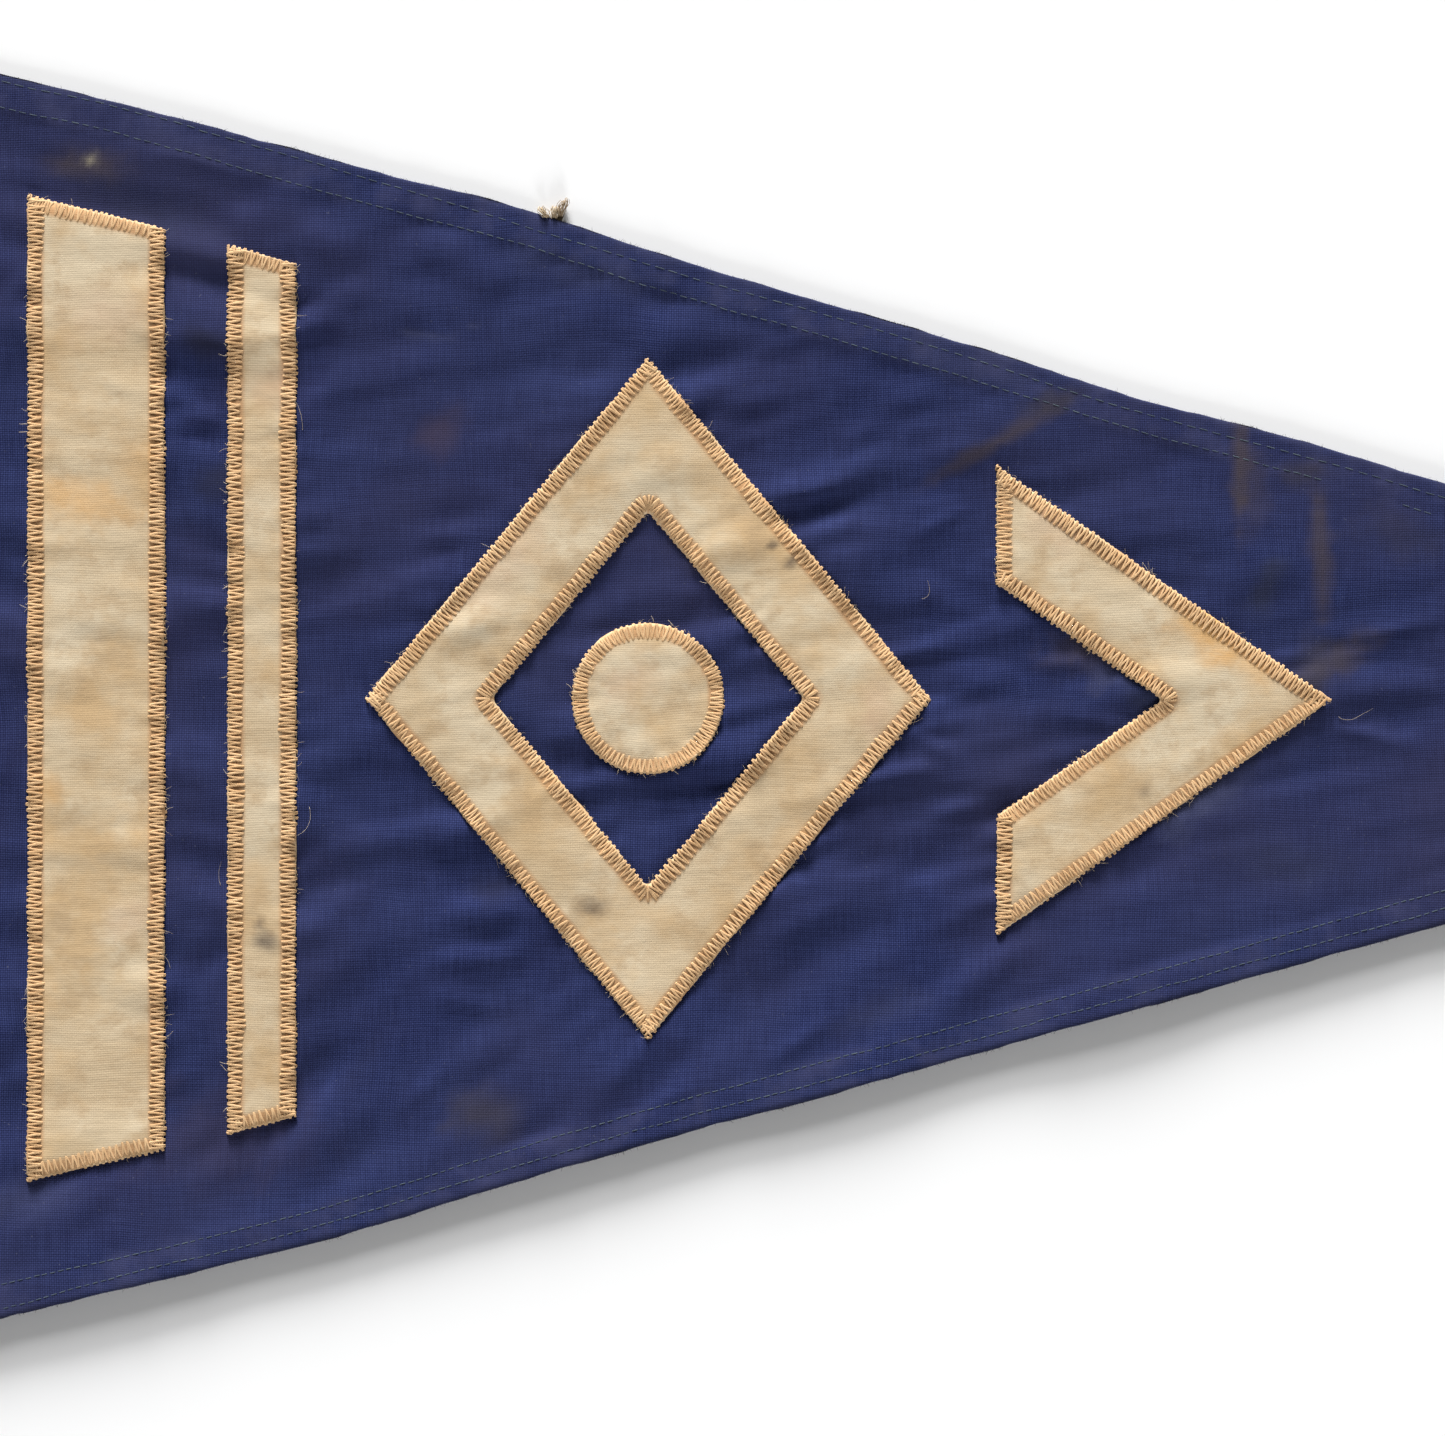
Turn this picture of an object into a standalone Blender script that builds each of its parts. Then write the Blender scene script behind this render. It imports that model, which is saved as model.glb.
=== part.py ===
"""A pennant flag lying on a flat surface, front face up.

Metres, +Z up. +X runs along the flag from the hoist to the tip, +Y across it, and Z = 0 is the
surface that it lies on. The origin is the middle of the box around the flag, at that surface.
"""

import math

import bmesh
import bpy

MM = 0.001

# The flag as cut and sewn
FLY = 0.740
HOIST = 0.420
TIP_HEIGHT = 0.012
TIP_DROP = 0.0043
HEM_WIDTH = 0.0105
CLOTH = 0.0010
HEM_THICK = 0.0018
GAP = 0.0003

# The heading, a folded canvas strip with a slot that takes the field's hoist edge
HEADING_WIDTH = 0.030
HEADING_LEG = 0.0010
SLOT_DEPTH = 0.012
HEADING_THICK = 2 * HEADING_LEG + CLOTH + 2 * GAP
FOLD_STEPS = 6

# The eyelets and the pockets that their flanges press into the canvas
EYELET_FROM_HOIST = 0.0105
EYELET_FROM_END = 0.019
EYELET_HOLE = 0.0045
EYELET_BARREL = 0.0056
EYELET_FLANGE = 0.0088
EYELET_LIP = 0.0009
EYELET_POCKET = 0.0006
EYELET_STEPS = 28

# The sewn-on shapes
PATCH_CORNER = 0.0022
CORNER_STEPS = 3
ROUND_STEPS = 36

# The grid that the cloth is modelled on
COLUMNS = 80
INNER_ROWS = 32
HEM_STEP = 0.0016
FLAT_BELOW = 0.00035

HOIST_X = -FLY / 2
TIP_X = FLY / 2
HEADING_X = HOIST_X + HEADING_WIDTH
FIELD_X = HEADING_X - SLOT_DEPTH + GAP
LIFT_AT_SLOT = HEADING_LEG + GAP
LIFT_RUN = 0.016

# How far each edge bows out of the straight line from hoist to tip:
# share of the fly, top edge in mm, bottom edge in mm
EDGE_BOWS = (
    (0.00, 0.0, 0.0),
    (0.08, 1.7, 1.4),
    (0.16, 3.9, 3.4),
    (0.23, 4.3, 4.4),
    (0.30, 5.6, 2.6),
    (0.37, 3.6, 1.4),
    (0.43, 3.0, 1.6),
    (0.50, 2.4, 1.2),
    (0.56, 0.9, 0.8),
    (0.64, 1.8, 0.4),
    (0.70, 1.0, 0.2),
    (0.85, 0.6, 0.4),
    (1.00, 0.0, 0.0),
)

# The soft ridges in the cloth, in mm: centre x, centre y, direction in degrees, half length,
# half width, height
FOLDS = (
    (-242, 116, -17, 42, 10.0, 2.6),
    (-160, 22, 27, 20, 6.0, 1.5),
    (-157, -67, 2, 20, 6.5, 1.6),
    (-164, -46, 22, 15, 6.0, 1.0),
    (-158, -112, 30, 22, 7.0, 1.3),
    (-83, -20, 10, 34, 7.0, 1.6),
    (-80, 46, 14, 30, 7.0, 1.3),
    (-95, 72, 6, 26, 7.0, 1.1),
    (-262, -48, -8, 22, 6.5, 1.3),
    (-258, -92, -4, 24, 7.0, 1.4),
    (-213, -32, 12, 16, 6.0, 1.0),
    (-216, -73, -6, 22, 7.0, 1.0),
    (-164, 136, -30, 30, 8.0, 1.2),
    (-212, 146, -38, 22, 7.0, 1.0),
    (-3, 5, 4, 22, 7.0, 1.1),
    (-14, 30, -26, 18, 6.0, 0.9),
    (-6, 80, 34, 26, 9.0, 1.0),
    (56, 4, 2, 26, 7.0, 1.2),
    (122, 3, -1, 42, 7.0, 1.1),
    (230, -2, 2, 60, 8.0, 1.0),
    (-3, -86, 42, 30, 9.0, 1.0),
    (-114, -122, 36, 26, 9.0, 1.1),
    (-318, 60, 24, 20, 10.0, 1.2),
    (-310, -110, -20, 24, 11.0, 1.4),
    (-290, 4, 6, 24, 9.0, 1.0),
)

# The sewn-on shapes, in metres from the part's origin
BAND_TOP_MARGIN = 0.036
BAND_BOTTOM_MARGIN = 0.041
WIDE_BAND = (-0.2985, -0.2560)
NARROW_BAND = (-0.2360, -0.2150)
LOZENGE_CENTRE = (-0.1050, -0.0010)
LOZENGE_HALF = (0.0880, 0.1060)
LOZENGE_STROKE = 0.0300
DISC_RADIUS = 0.0235
CHEVRON_POINT = 0.1080
CHEVRON_BACK = 0.0040
CHEVRON_HALF = 0.0730
CHEVRON_STROKE = 0.0300
CHEVRON_DROP = 0.0015

NAVY = (0.031, 0.036, 0.098, 1.0)
CREAM = (0.64, 0.49, 0.31, 1.0)
CANVAS = (0.55, 0.49, 0.38, 1.0)
BRASS = (0.62, 0.42, 0.16, 1.0)


def clear_scene():
    for obj in list(bpy.data.objects):
        bpy.data.objects.remove(obj, do_unlink=True)


def collection(name):
    made = bpy.data.collections.new(name)
    bpy.context.scene.collection.children.link(made)
    return made


def material(name, colour, roughness, metallic=0.0):
    made = bpy.data.materials.new(name)
    made.use_nodes = True
    shader = made.node_tree.nodes["Principled BSDF"]
    shader.inputs["Base Color"].default_value = colour
    shader.inputs["Roughness"].default_value = roughness
    shader.inputs["Metallic"].default_value = metallic
    made.diffuse_color = colour
    return made


def eased(table, column, at):
    """A smooth curve through one column of a table whose first column rises."""
    last = len(table) - 1
    i = 0
    while i < last - 1 and at > table[i + 1][0]:
        i += 1
    (x0, y0), (x1, y1) = ((table[k][0], table[k][column]) for k in (i, i + 1))
    before = table[max(i - 1, 0)]
    after = table[min(i + 2, last)]
    slope0 = (y1 - before[column]) / (x1 - before[0])
    slope1 = (after[column] - y0) / (after[0] - x0)
    run = x1 - x0
    t = min(max((at - x0) / run, 0.0), 1.0)
    return (
        y0 * (1 + 2 * t) * (1 - t) ** 2
        + slope0 * run * t * (1 - t) ** 2
        + y1 * t * t * (3 - 2 * t)
        - slope1 * run * t * t * (1 - t)
    )


def edge_y(x, side):
    """The field's top edge (side 1) or bottom edge (side -1) at x."""
    share = (x - HOIST_X) / FLY
    straight = side * HOIST / 2 * (1 - share) + (side * TIP_HEIGHT / 2 - TIP_DROP) * share
    return straight + side * MM * eased(EDGE_BOWS, 1 if side > 0 else 2, share)


def fold_height(x, y):
    """How high the ridges lift the cloth at a point; it lies flat on the surface between them."""
    total = 0.0
    for cx, cy, degrees, half_length, half_width, height in FOLDS:
        dx = x / MM - cx
        dy = y / MM - cy
        turn = math.radians(degrees)
        along = (dx * math.cos(turn) + dy * math.sin(turn)) / half_length
        across = (dy * math.cos(turn) - dx * math.sin(turn)) / half_width
        if abs(along) < 1:
            total += height * (1 - along * along) ** 2 * math.exp(-across * across)
    return max(0.0, total * MM - FLAT_BELOW)


def slot_lift(x):
    """The field leaves the surface near the hoist to enter the middle of the heading."""
    t = min(max((x - HEADING_X) / LIFT_RUN, 0.0), 1.0)
    return LIFT_AT_SLOT * (1 - t * t * (3 - 2 * t))


def fold_fade(x):
    """The ridges die out before the heading, which holds the cloth flat."""
    return min(max((x - HEADING_X - GAP) / LIFT_RUN, 0.0), 1.0)


def underside(x, y):
    return slot_lift(x) + fold_fade(x) * fold_height(x, y)


def row_shares(x):
    """Where the grid's rows cross a column, from 0 at the bottom edge to 1 at the top edge."""
    height = edge_y(x, 1) - edge_y(x, -1)
    hem = min(HEM_WIDTH / height, 0.40)
    step = min(HEM_STEP / height, 0.04)
    first = hem + step
    inner = [first + (1 - 2 * first) * i / INNER_ROWS for i in range(INNER_ROWS + 1)]
    return [0.0, hem] + inner + [1 - hem, 1.0]


def cloth_grid(name, lift):
    """The cloth's underside raised by lift, as one open grid mapped between the two edges."""
    grid = bmesh.new()
    rows = len(row_shares(0.0))
    points = []
    for i in range(COLUMNS + 1):
        x = FIELD_X + (TIP_X - FIELD_X) * i / COLUMNS
        low = edge_y(x, -1)
        high = edge_y(x, 1)
        column = []
        for share in row_shares(x):
            y = low + (high - low) * share
            column.append(grid.verts.new((x, y, underside(x, y) + lift)))
        points.append(column)
    for i in range(COLUMNS):
        for j in range(rows - 1):
            corners = (points[i][j], points[i + 1][j], points[i + 1][j + 1], points[i][j + 1])
            grid.faces.new(corners)
    bmesh.ops.triangulate(grid, faces=grid.faces, quad_method="FIXED")
    mesh = bpy.data.meshes.new(name)
    grid.to_mesh(mesh)
    grid.free()
    return bpy.data.objects.new(name, mesh), rows


def thickened(obj, thickness):
    solid = obj.modifiers.new("thickness", "SOLIDIFY")
    solid.thickness = thickness
    solid.offset = 1.0
    return solid


def field(parts, cloth):
    """The blue panel, thicker at its hems, where the cloth is folded over twice."""
    obj, rows = cloth_grid("field", 0.0)
    hems = obj.vertex_groups.new(name="hems")
    thin = CLOTH / HEM_THICK
    flat_from = HEADING_X + LIFT_RUN
    last_column = TIP_X - HEM_WIDTH
    for vert in obj.data.vertices:
        row = vert.index % rows
        in_hem = row < 2 or row > rows - 3 or vert.co.x > last_column
        share = 1.0 if in_hem and vert.co.x > flat_from else thin
        hems.add([vert.index], share, "REPLACE")
    solid = thickened(obj, HEM_THICK)
    solid.vertex_group = "hems"
    obj.data.materials.append(cloth)
    parts.objects.link(obj)


def rounded(corners, radius):
    """An outline with its corners rounded to the radius, as a list of (x, y)."""
    points = []
    for i, corner in enumerate(corners):
        before = corners[i - 1]
        after = corners[(i + 1) % len(corners)]
        back = (before[0] - corner[0], before[1] - corner[1])
        ahead = (after[0] - corner[0], after[1] - corner[1])
        back_angle = math.atan2(back[1], back[0])
        ahead_angle = math.atan2(ahead[1], ahead[0])
        opening = (back_angle - ahead_angle) % (2 * math.pi)
        turn = 1 if opening < math.pi else -1
        half = min(opening, 2 * math.pi - opening) / 2
        middle = ahead_angle + turn * half
        reach = radius / math.sin(half)
        centre_x = corner[0] + reach * math.cos(middle)
        centre_y = corner[1] + reach * math.sin(middle)
        sweep = math.pi / 2 - half
        for k in range(CORNER_STEPS + 1):
            share = 2 * k / CORNER_STEPS - 1
            angle = middle + math.pi + turn * sweep * share
            points.append((centre_x + radius * math.cos(angle), centre_y + radius * math.sin(angle)))
    return points


def circle(centre, radius):
    turns = [2 * math.pi * i / ROUND_STEPS for i in range(ROUND_STEPS)]
    return [(centre[0] + radius * math.cos(t), centre[1] + radius * math.sin(t)) for t in turns]


def band_outline(x_span):
    """An upright band whose ends keep their margins from the flag's sloping edges."""
    left, right = x_span
    return [
        (left, edge_y(left, -1) + BAND_BOTTOM_MARGIN),
        (right, edge_y(right, -1) + BAND_BOTTOM_MARGIN),
        (right, edge_y(right, 1) - BAND_TOP_MARGIN),
        (left, edge_y(left, 1) - BAND_TOP_MARGIN),
    ]


def lozenge_outline(scale):
    x, y = LOZENGE_CENTRE
    half_x, half_y = (half * scale for half in LOZENGE_HALF)
    return [(x + half_x, y), (x, y + half_y), (x - half_x, y), (x, y - half_y)]


def lozenge_inner_scale():
    """How much smaller the inner lozenge is, for a stroke of the stated width."""
    half_x, half_y = LOZENGE_HALF
    to_side = half_x * half_y / math.hypot(half_x, half_y)
    return 1 - LOZENGE_STROKE / to_side


def chevron_outline():
    """A V on its side that points to the tip, its two ends cut upright."""
    run = CHEVRON_POINT - CHEVRON_BACK
    slant = math.hypot(run, CHEVRON_HALF)
    stroke_x = CHEVRON_STROKE * slant / CHEVRON_HALF
    stroke_y = CHEVRON_STROKE * slant / run
    y = -CHEVRON_DROP
    return [
        (CHEVRON_POINT, y),
        (CHEVRON_BACK, y + CHEVRON_HALF),
        (CHEVRON_BACK, y + CHEVRON_HALF - stroke_y),
        (CHEVRON_POINT - stroke_x, y),
        (CHEVRON_BACK, y - CHEVRON_HALF + stroke_y),
        (CHEVRON_BACK, y - CHEVRON_HALF),
    ]


def prism(name, outlines, height):
    """A mesh prism about Z = 0 on flat outlines; an outline inside another one is a hole."""
    curve = bpy.data.curves.new(name, "CURVE")
    curve.dimensions = "2D"
    curve.fill_mode = "BOTH"
    curve.extrude = height / 2
    for outline in outlines:
        spline = curve.splines.new("POLY")
        spline.points.add(len(outline) - 1)
        spline.use_cyclic_u = True
        for point, (x, y) in zip(spline.points, outline):
            point.co = (x, y, 0.0, 1.0)
    guide = bpy.data.objects.new(name + "_curve", curve)
    bpy.context.scene.collection.objects.link(guide)
    graph = bpy.context.evaluated_depsgraph_get()
    mesh = bpy.data.meshes.new_from_object(guide.evaluated_get(graph))
    bpy.data.objects.remove(guide, do_unlink=True)
    welded = bmesh.new()
    welded.from_mesh(mesh)
    bmesh.ops.remove_doubles(welded, verts=welded.verts, dist=1e-6)
    bmesh.ops.recalc_face_normals(welded, faces=welded.faces)
    welded.to_mesh(mesh)
    welded.free()
    return bpy.data.objects.new(name, mesh)


def as_cutter(obj, cutters):
    obj.hide_render = True
    obj.display_type = "WIRE"
    cutters.objects.link(obj)


def patch(name, outlines, parts, cutters, cloth):
    """A shape cut from a sheet that follows the field's top face, one gap above it."""
    obj, _ = cloth_grid(name, CLOTH + GAP)
    thickened(obj, CLOTH)
    knife = prism(name + "_outline", outlines, 0.05)
    as_cutter(knife, cutters)
    cut = obj.modifiers.new("outline", "BOOLEAN")
    cut.operation = "INTERSECT"
    cut.solver = "EXACT"
    cut.object = knife
    obj.data.materials.append(cloth)
    parts.objects.link(obj)


def heading_profile():
    """The folded strip's section in (x, z): a round fold at the hoist and a slot for the field."""
    half = HEADING_THICK / 2
    outer = HOIST_X
    fold_x = outer + half
    slot_x = HEADING_X - SLOT_DEPTH
    fold = []
    for i in range(FOLD_STEPS + 1):
        angle = math.pi / 2 + math.pi * i / FOLD_STEPS
        fold.append((fold_x + half * math.cos(angle), half + half * math.sin(angle)))
    low = HEADING_LEG
    high = HEADING_THICK - HEADING_LEG
    return fold + [
        (HEADING_X, 0.0),
        (HEADING_X, low),
        (slot_x, low),
        (slot_x, high),
        (HEADING_X, high),
        (HEADING_X, HEADING_THICK),
    ]


def drill(name, radius, low, high, x, y, cutters):
    bpy.ops.mesh.primitive_cylinder_add(
        vertices=EYELET_STEPS, radius=radius, depth=high - low, location=(x, y, (low + high) / 2)
    )
    obj = bpy.context.object
    obj.name = name
    for owner in list(obj.users_collection):
        owner.objects.unlink(obj)
    as_cutter(obj, cutters)
    return obj


def eyelet_places():
    reach = HOIST / 2 - EYELET_FROM_END
    x = HOIST_X + EYELET_FROM_HOIST
    return (("upper", x, reach), ("lower", x, -reach))


def heading(parts, cutters, canvas):
    """The canvas strip, with a hole and two pockets for each eyelet."""
    obj = prism("heading", [heading_profile()], HOIST)
    obj.rotation_euler = (math.pi / 2, 0.0, 0.0)
    parts.objects.link(obj)
    pocket = EYELET_FLANGE + GAP
    lower_top = EYELET_LIP + GAP
    upper_bottom = HEADING_THICK - EYELET_POCKET
    beyond = 0.01
    for where, x, y in eyelet_places():
        cuts = (
            ("hole", EYELET_BARREL + GAP, -beyond, beyond),
            ("under", pocket, -beyond, lower_top),
            ("over", pocket, upper_bottom, beyond),
        )
        for kind, radius, low, high in cuts:
            name = "cut_" + where + "_" + kind
            cut = obj.modifiers.new(name, "BOOLEAN")
            cut.operation = "DIFFERENCE"
            cut.solver = "EXACT"
            cut.object = drill(name, radius, low, high, x, y, cutters)
    obj.data.materials.append(canvas)


def eyelet_profile():
    """Half the section of a pressed brass ring in (radius, z), down its outer side first."""
    top = HEADING_THICK - EYELET_POCKET + GAP + EYELET_LIP
    inner = EYELET_HOLE
    barrel = EYELET_BARREL
    rim = EYELET_FLANGE
    soft = EYELET_LIP / 3
    return [
        (inner + 3 * soft, top),
        (rim - soft, top - soft),
        (rim, top - EYELET_LIP),
        (barrel, top - EYELET_LIP),
        (barrel, EYELET_LIP),
        (rim, EYELET_LIP),
        (rim - soft, 0.0),
        (inner + 2 * soft, 0.0),
        (inner, 2 * soft),
        (inner, top - 3 * soft),
        (inner + soft, top - soft),
    ]


def eyelet(name, x, y, parts, brass):
    profile = eyelet_profile()
    mesh = bpy.data.meshes.new(name)
    loop = [(i, (i + 1) % len(profile)) for i in range(len(profile))]
    mesh.from_pydata([(r, 0.0, z) for r, z in profile], loop, [])
    obj = bpy.data.objects.new(name, mesh)
    obj.location = (x, y, 0.0)
    turn = obj.modifiers.new("turned", "SCREW")
    turn.steps = EYELET_STEPS
    turn.render_steps = EYELET_STEPS
    turn.use_merge_vertices = True
    turn.merge_threshold = 0.00001
    obj.data.materials.append(brass)
    parts.objects.link(obj)


def main():
    clear_scene()
    parts = collection("pennant_flag")
    cutters = collection("cutters")
    navy_cloth = material("navy_cloth", NAVY, 0.92)
    cream_cloth = material("cream_cloth", CREAM, 0.90)
    canvas = material("heading_canvas", CANVAS, 0.90)
    brass = material("eyelet_brass", BRASS, 0.35, 1.0)

    field(parts, navy_cloth)
    shapes = {
        "patch_wide_band": [rounded(band_outline(WIDE_BAND), PATCH_CORNER)],
        "patch_narrow_band": [rounded(band_outline(NARROW_BAND), PATCH_CORNER)],
        "patch_lozenge": [
            rounded(lozenge_outline(1.0), PATCH_CORNER),
            rounded(lozenge_outline(lozenge_inner_scale()), PATCH_CORNER),
        ],
        "patch_disc": [circle(LOZENGE_CENTRE, DISC_RADIUS)],
        "patch_chevron": [rounded(chevron_outline(), PATCH_CORNER)],
    }
    for name, outlines in shapes.items():
        patch(name, outlines, parts, cutters, cream_cloth)
    heading(parts, cutters, canvas)
    for where, x, y in eyelet_places():
        eyelet("eyelet_" + where, x, y, parts, brass)


main()
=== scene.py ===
"""The looks of the pennant flag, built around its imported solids.

Metres, in the frame of the solids: +X along the flag from the hoist to the tip, +Y across it,
+Z out of its front face, and Z = 0 is the surface that it lies on.
"""

import math

import bpy
import numpy as np
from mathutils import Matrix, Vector, kdtree


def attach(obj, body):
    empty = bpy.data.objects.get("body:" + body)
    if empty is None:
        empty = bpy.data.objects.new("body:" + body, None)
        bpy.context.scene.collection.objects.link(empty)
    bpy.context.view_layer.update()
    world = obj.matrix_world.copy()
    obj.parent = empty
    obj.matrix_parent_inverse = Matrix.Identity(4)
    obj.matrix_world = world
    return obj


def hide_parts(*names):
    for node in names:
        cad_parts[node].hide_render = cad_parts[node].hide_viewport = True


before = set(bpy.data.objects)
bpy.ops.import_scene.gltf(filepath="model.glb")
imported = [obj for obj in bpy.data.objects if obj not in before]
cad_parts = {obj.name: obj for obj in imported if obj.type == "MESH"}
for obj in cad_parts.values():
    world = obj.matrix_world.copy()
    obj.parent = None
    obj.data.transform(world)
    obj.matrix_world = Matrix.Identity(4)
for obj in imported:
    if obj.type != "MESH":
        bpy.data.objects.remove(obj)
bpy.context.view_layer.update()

MM = 0.001

# Sizes of the flag, as its solids have them
FLY = 0.740
HOIST = 0.420
TIP_HEIGHT = 0.012
TIP_DROP = 0.0043
HEM_WIDTH = 0.0120
HEADING_WIDTH = 0.030
SLOT_DEPTH = 0.012
HEADING_THICK = 0.0036
HEADING_LEG = 0.0010
GAP = 0.0003
HOIST_X = -FLY / 2
TIP_X = FLY / 2
HEADING_X = HOIST_X + HEADING_WIDTH
FIELD_X = HEADING_X - SLOT_DEPTH + GAP
LIFT_RUN = 0.016
FLAT_BELOW = 0.00035

# Thin cloth as it is seen: the field's underside clears the thread on the back
BACK_CLEAR = 0.00022
BUNTING = 0.00065
HEM_EXTRA = 0.00020
PATCH_GAP = 0.00010
PATCH_CLOTH = 0.00060
THREAD = 0.00033
PITCH = 0.00071
CANVAS_PITCH = 0.00105

# The photograph's window on the flag
PHOTO_WIDE = 1445
PHOTO_HIGH = 1436
PIXEL = 0.0003125
PHOTO_LEFT_X = -0.3075
PHOTO_TOP_Y = 0.21728
LENS = 100.0
SENSOR = 36.0

# How far each edge bows out of the straight line from hoist to tip:
# share of the fly, top edge in mm, bottom edge in mm
EDGE_BOWS = (
    (0.00, 0.0, 0.0),
    (0.08, 1.7, 1.4),
    (0.16, 3.9, 3.4),
    (0.23, 4.3, 4.4),
    (0.30, 5.6, 2.6),
    (0.37, 3.6, 1.4),
    (0.43, 3.0, 1.6),
    (0.50, 2.4, 1.2),
    (0.56, 0.9, 0.8),
    (0.64, 1.8, 0.4),
    (0.70, 1.0, 0.2),
    (0.85, 0.6, 0.4),
    (1.00, 0.0, 0.0),
)

# The soft ridges in the cloth, in mm: centre x, centre y, direction in degrees, half length,
# half width, height
FOLDS = (
    (-242, 116, -17, 42, 10.0, 2.6),
    (-160, 22, 27, 20, 6.0, 1.5),
    (-157, -67, 2, 20, 6.5, 1.6),
    (-164, -46, 22, 15, 6.0, 1.0),
    (-158, -112, 30, 22, 7.0, 1.3),
    (-83, -20, 10, 34, 7.0, 1.6),
    (-80, 46, 14, 30, 7.0, 1.3),
    (-95, 72, 6, 26, 7.0, 1.1),
    (-262, -48, -8, 22, 6.5, 1.3),
    (-258, -92, -4, 24, 7.0, 1.4),
    (-213, -32, 12, 16, 6.0, 1.0),
    (-216, -73, -6, 22, 7.0, 1.0),
    (-164, 136, -30, 30, 8.0, 1.2),
    (-212, 146, -38, 22, 7.0, 1.0),
    (-3, 5, 4, 22, 7.0, 1.1),
    (-14, 30, -26, 18, 6.0, 0.9),
    (-6, 80, 34, 26, 9.0, 1.0),
    (56, 4, 2, 26, 7.0, 1.2),
    (122, 3, -1, 42, 7.0, 1.1),
    (230, -2, 2, 60, 8.0, 1.0),
    (-3, -86, 42, 30, 9.0, 1.0),
    (-114, -122, 36, 26, 9.0, 1.1),
    (-318, 60, 24, 20, 10.0, 1.2),
    (-310, -110, -20, 24, 11.0, 1.4),
    (-290, 4, 6, 24, 9.0, 1.0),
)

# Small creases that only the thin cloth has, with the same columns
CREASES = (
    (-270, 96, -30, 10, 2.2, 0.45),
    (-246, 86, 8, 16, 2.6, 0.50),
    (-222, 62, -12, 12, 2.2, 0.35),
    (-167, 50, 8, 16, 2.4, 0.55),
    (-160, 2, 20, 18, 2.4, 0.60),
    (-152, -22, -14, 16, 2.4, 0.45),
    (-158, -40, 16, 18, 2.6, 0.55),
    (-160, -82, 4, 20, 2.6, 0.55),
    (-162, -96, -8, 18, 2.4, 0.40),
    (-176, -124, 40, 16, 2.8, 0.45),
    (-106, 142, -18, 22, 2.6, 0.40),
    (-60, 128, -14, 18, 2.4, 0.35),
    (-88, 54, 16, 12, 2.2, 0.50),
    (-72, 30, 30, 12, 2.2, 0.45),
    (-96, -34, 6, 16, 2.4, 0.50),
    (-76, -46, 24, 12, 2.2, 0.35),
    (-14, 54, 28, 14, 2.4, 0.45),
    (-16, -16, -24, 14, 2.4, 0.45),
    (-8, -36, 10, 14, 2.4, 0.35),
    (24, 10, 4, 14, 2.4, 0.45),
    (34, -8, -6, 14, 2.4, 0.35),
    (30, -96, 38, 18, 2.8, 0.40),
    (-58, -108, 34, 22, 2.8, 0.40),
    (-136, -140, 24, 18, 2.6, 0.35),
    (118, -12, -14, 20, 2.6, 0.35),
    (126, 20, 12, 22, 2.6, 0.35),
    (-266, -66, 6, 12, 2.2, 0.45),
    (-262, -106, -6, 14, 2.4, 0.45),
    (-252, -120, 14, 14, 2.2, 0.35),
    (-300, 128, 30, 14, 2.6, 0.40),
)

# The sewn-on shapes
BAND_TOP_MARGIN = 0.036
BAND_BOTTOM_MARGIN = 0.041
WIDE_BAND = (-0.2985, -0.2560)
NARROW_BAND = (-0.2360, -0.2150)
LOZENGE_CENTRE = (-0.1050, -0.0010)
LOZENGE_HALF = (0.0880, 0.1060)
LOZENGE_STROKE = 0.0300
DISC_RADIUS = 0.0235
CHEVRON_POINT = 0.1080
CHEVRON_BACK = 0.0040
CHEVRON_HALF = 0.0730
CHEVRON_STROKE = 0.0300
CHEVRON_DROP = 0.0015
PATCH_CORNER = 0.0022

# The zigzag that holds each shape: how far it reaches over the cloth and past its raw edge
ZIGZAG_IN = 0.0045
ZIGZAG_OUT = 0.0002
ZIGZAG_STEP = 0.00190
THREAD_FLAT = 0.30
FAN_LEGS = 6
BACK_THREAD = 0.00010

# Raw edges are sampled at this step where thread is laid along them
SEW_STEP = 0.0008

# The eyelets
EYELET_PLACES = {
    "eyelet_upper": (HOIST_X + 0.0105, HOIST / 2 - 0.019),
    "eyelet_lower": (HOIST_X + 0.0105, -HOIST / 2 + 0.019),
}
EYELET_HOLE = 0.0045
EYELET_BARREL = 0.0056
EYELET_FLANGE = 0.0088

# The pressed ring's section in mm: radius, and how far its face falls or its back rises
EYELET_FACE = (
    (7.60, 0.03),
    (6.90, 0.02),
    (6.30, 0.00),
    (5.80, 0.06),
    (5.30, 0.22),
    (4.95, 0.48),
    (4.70, 0.85),
)
EYELET_BACK = ((4.7, 0.55), (5.0, 0.28), (5.5, 0.08), (6.2, 0.0), (7.2, 0.02))

# The seams of the heading, in from its inner edge
HEADING_SEAMS = (0.0026, 0.0088)

# The bit of twine behind the upper hem, and its lobes in metres: start to the side, lean,
# length, thickness, how light it is
TUFT_X = -0.1345
TUFT_LOBES = (
    (-0.0012, -0.42, 0.0072, 0.0011, 0.75),
    (0.0002, 0.05, 0.0068, 0.0010, 0.95),
    (0.0014, 0.26, 0.0094, 0.0012, 0.40),
)
TUFT_STRANDS = 26

# Loose fibres, in mm: x, y, direction in degrees, length, bend in degrees
STRAYS = (
    (-213, 82, 78, 11, 40),
    (-211, -34, -70, 12, -60),
    (-254, -86, 100, 9, 50),
    (110, -6, -60, 12, 70),
    (-20, 30, 20, 7, 60),
    (-238, -60, 120, 8, -50),
)

# The lower hem curls off the surface: how high, over how far in from its edge
CURL = 0.0030
CURL_RUN = 0.062

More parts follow.
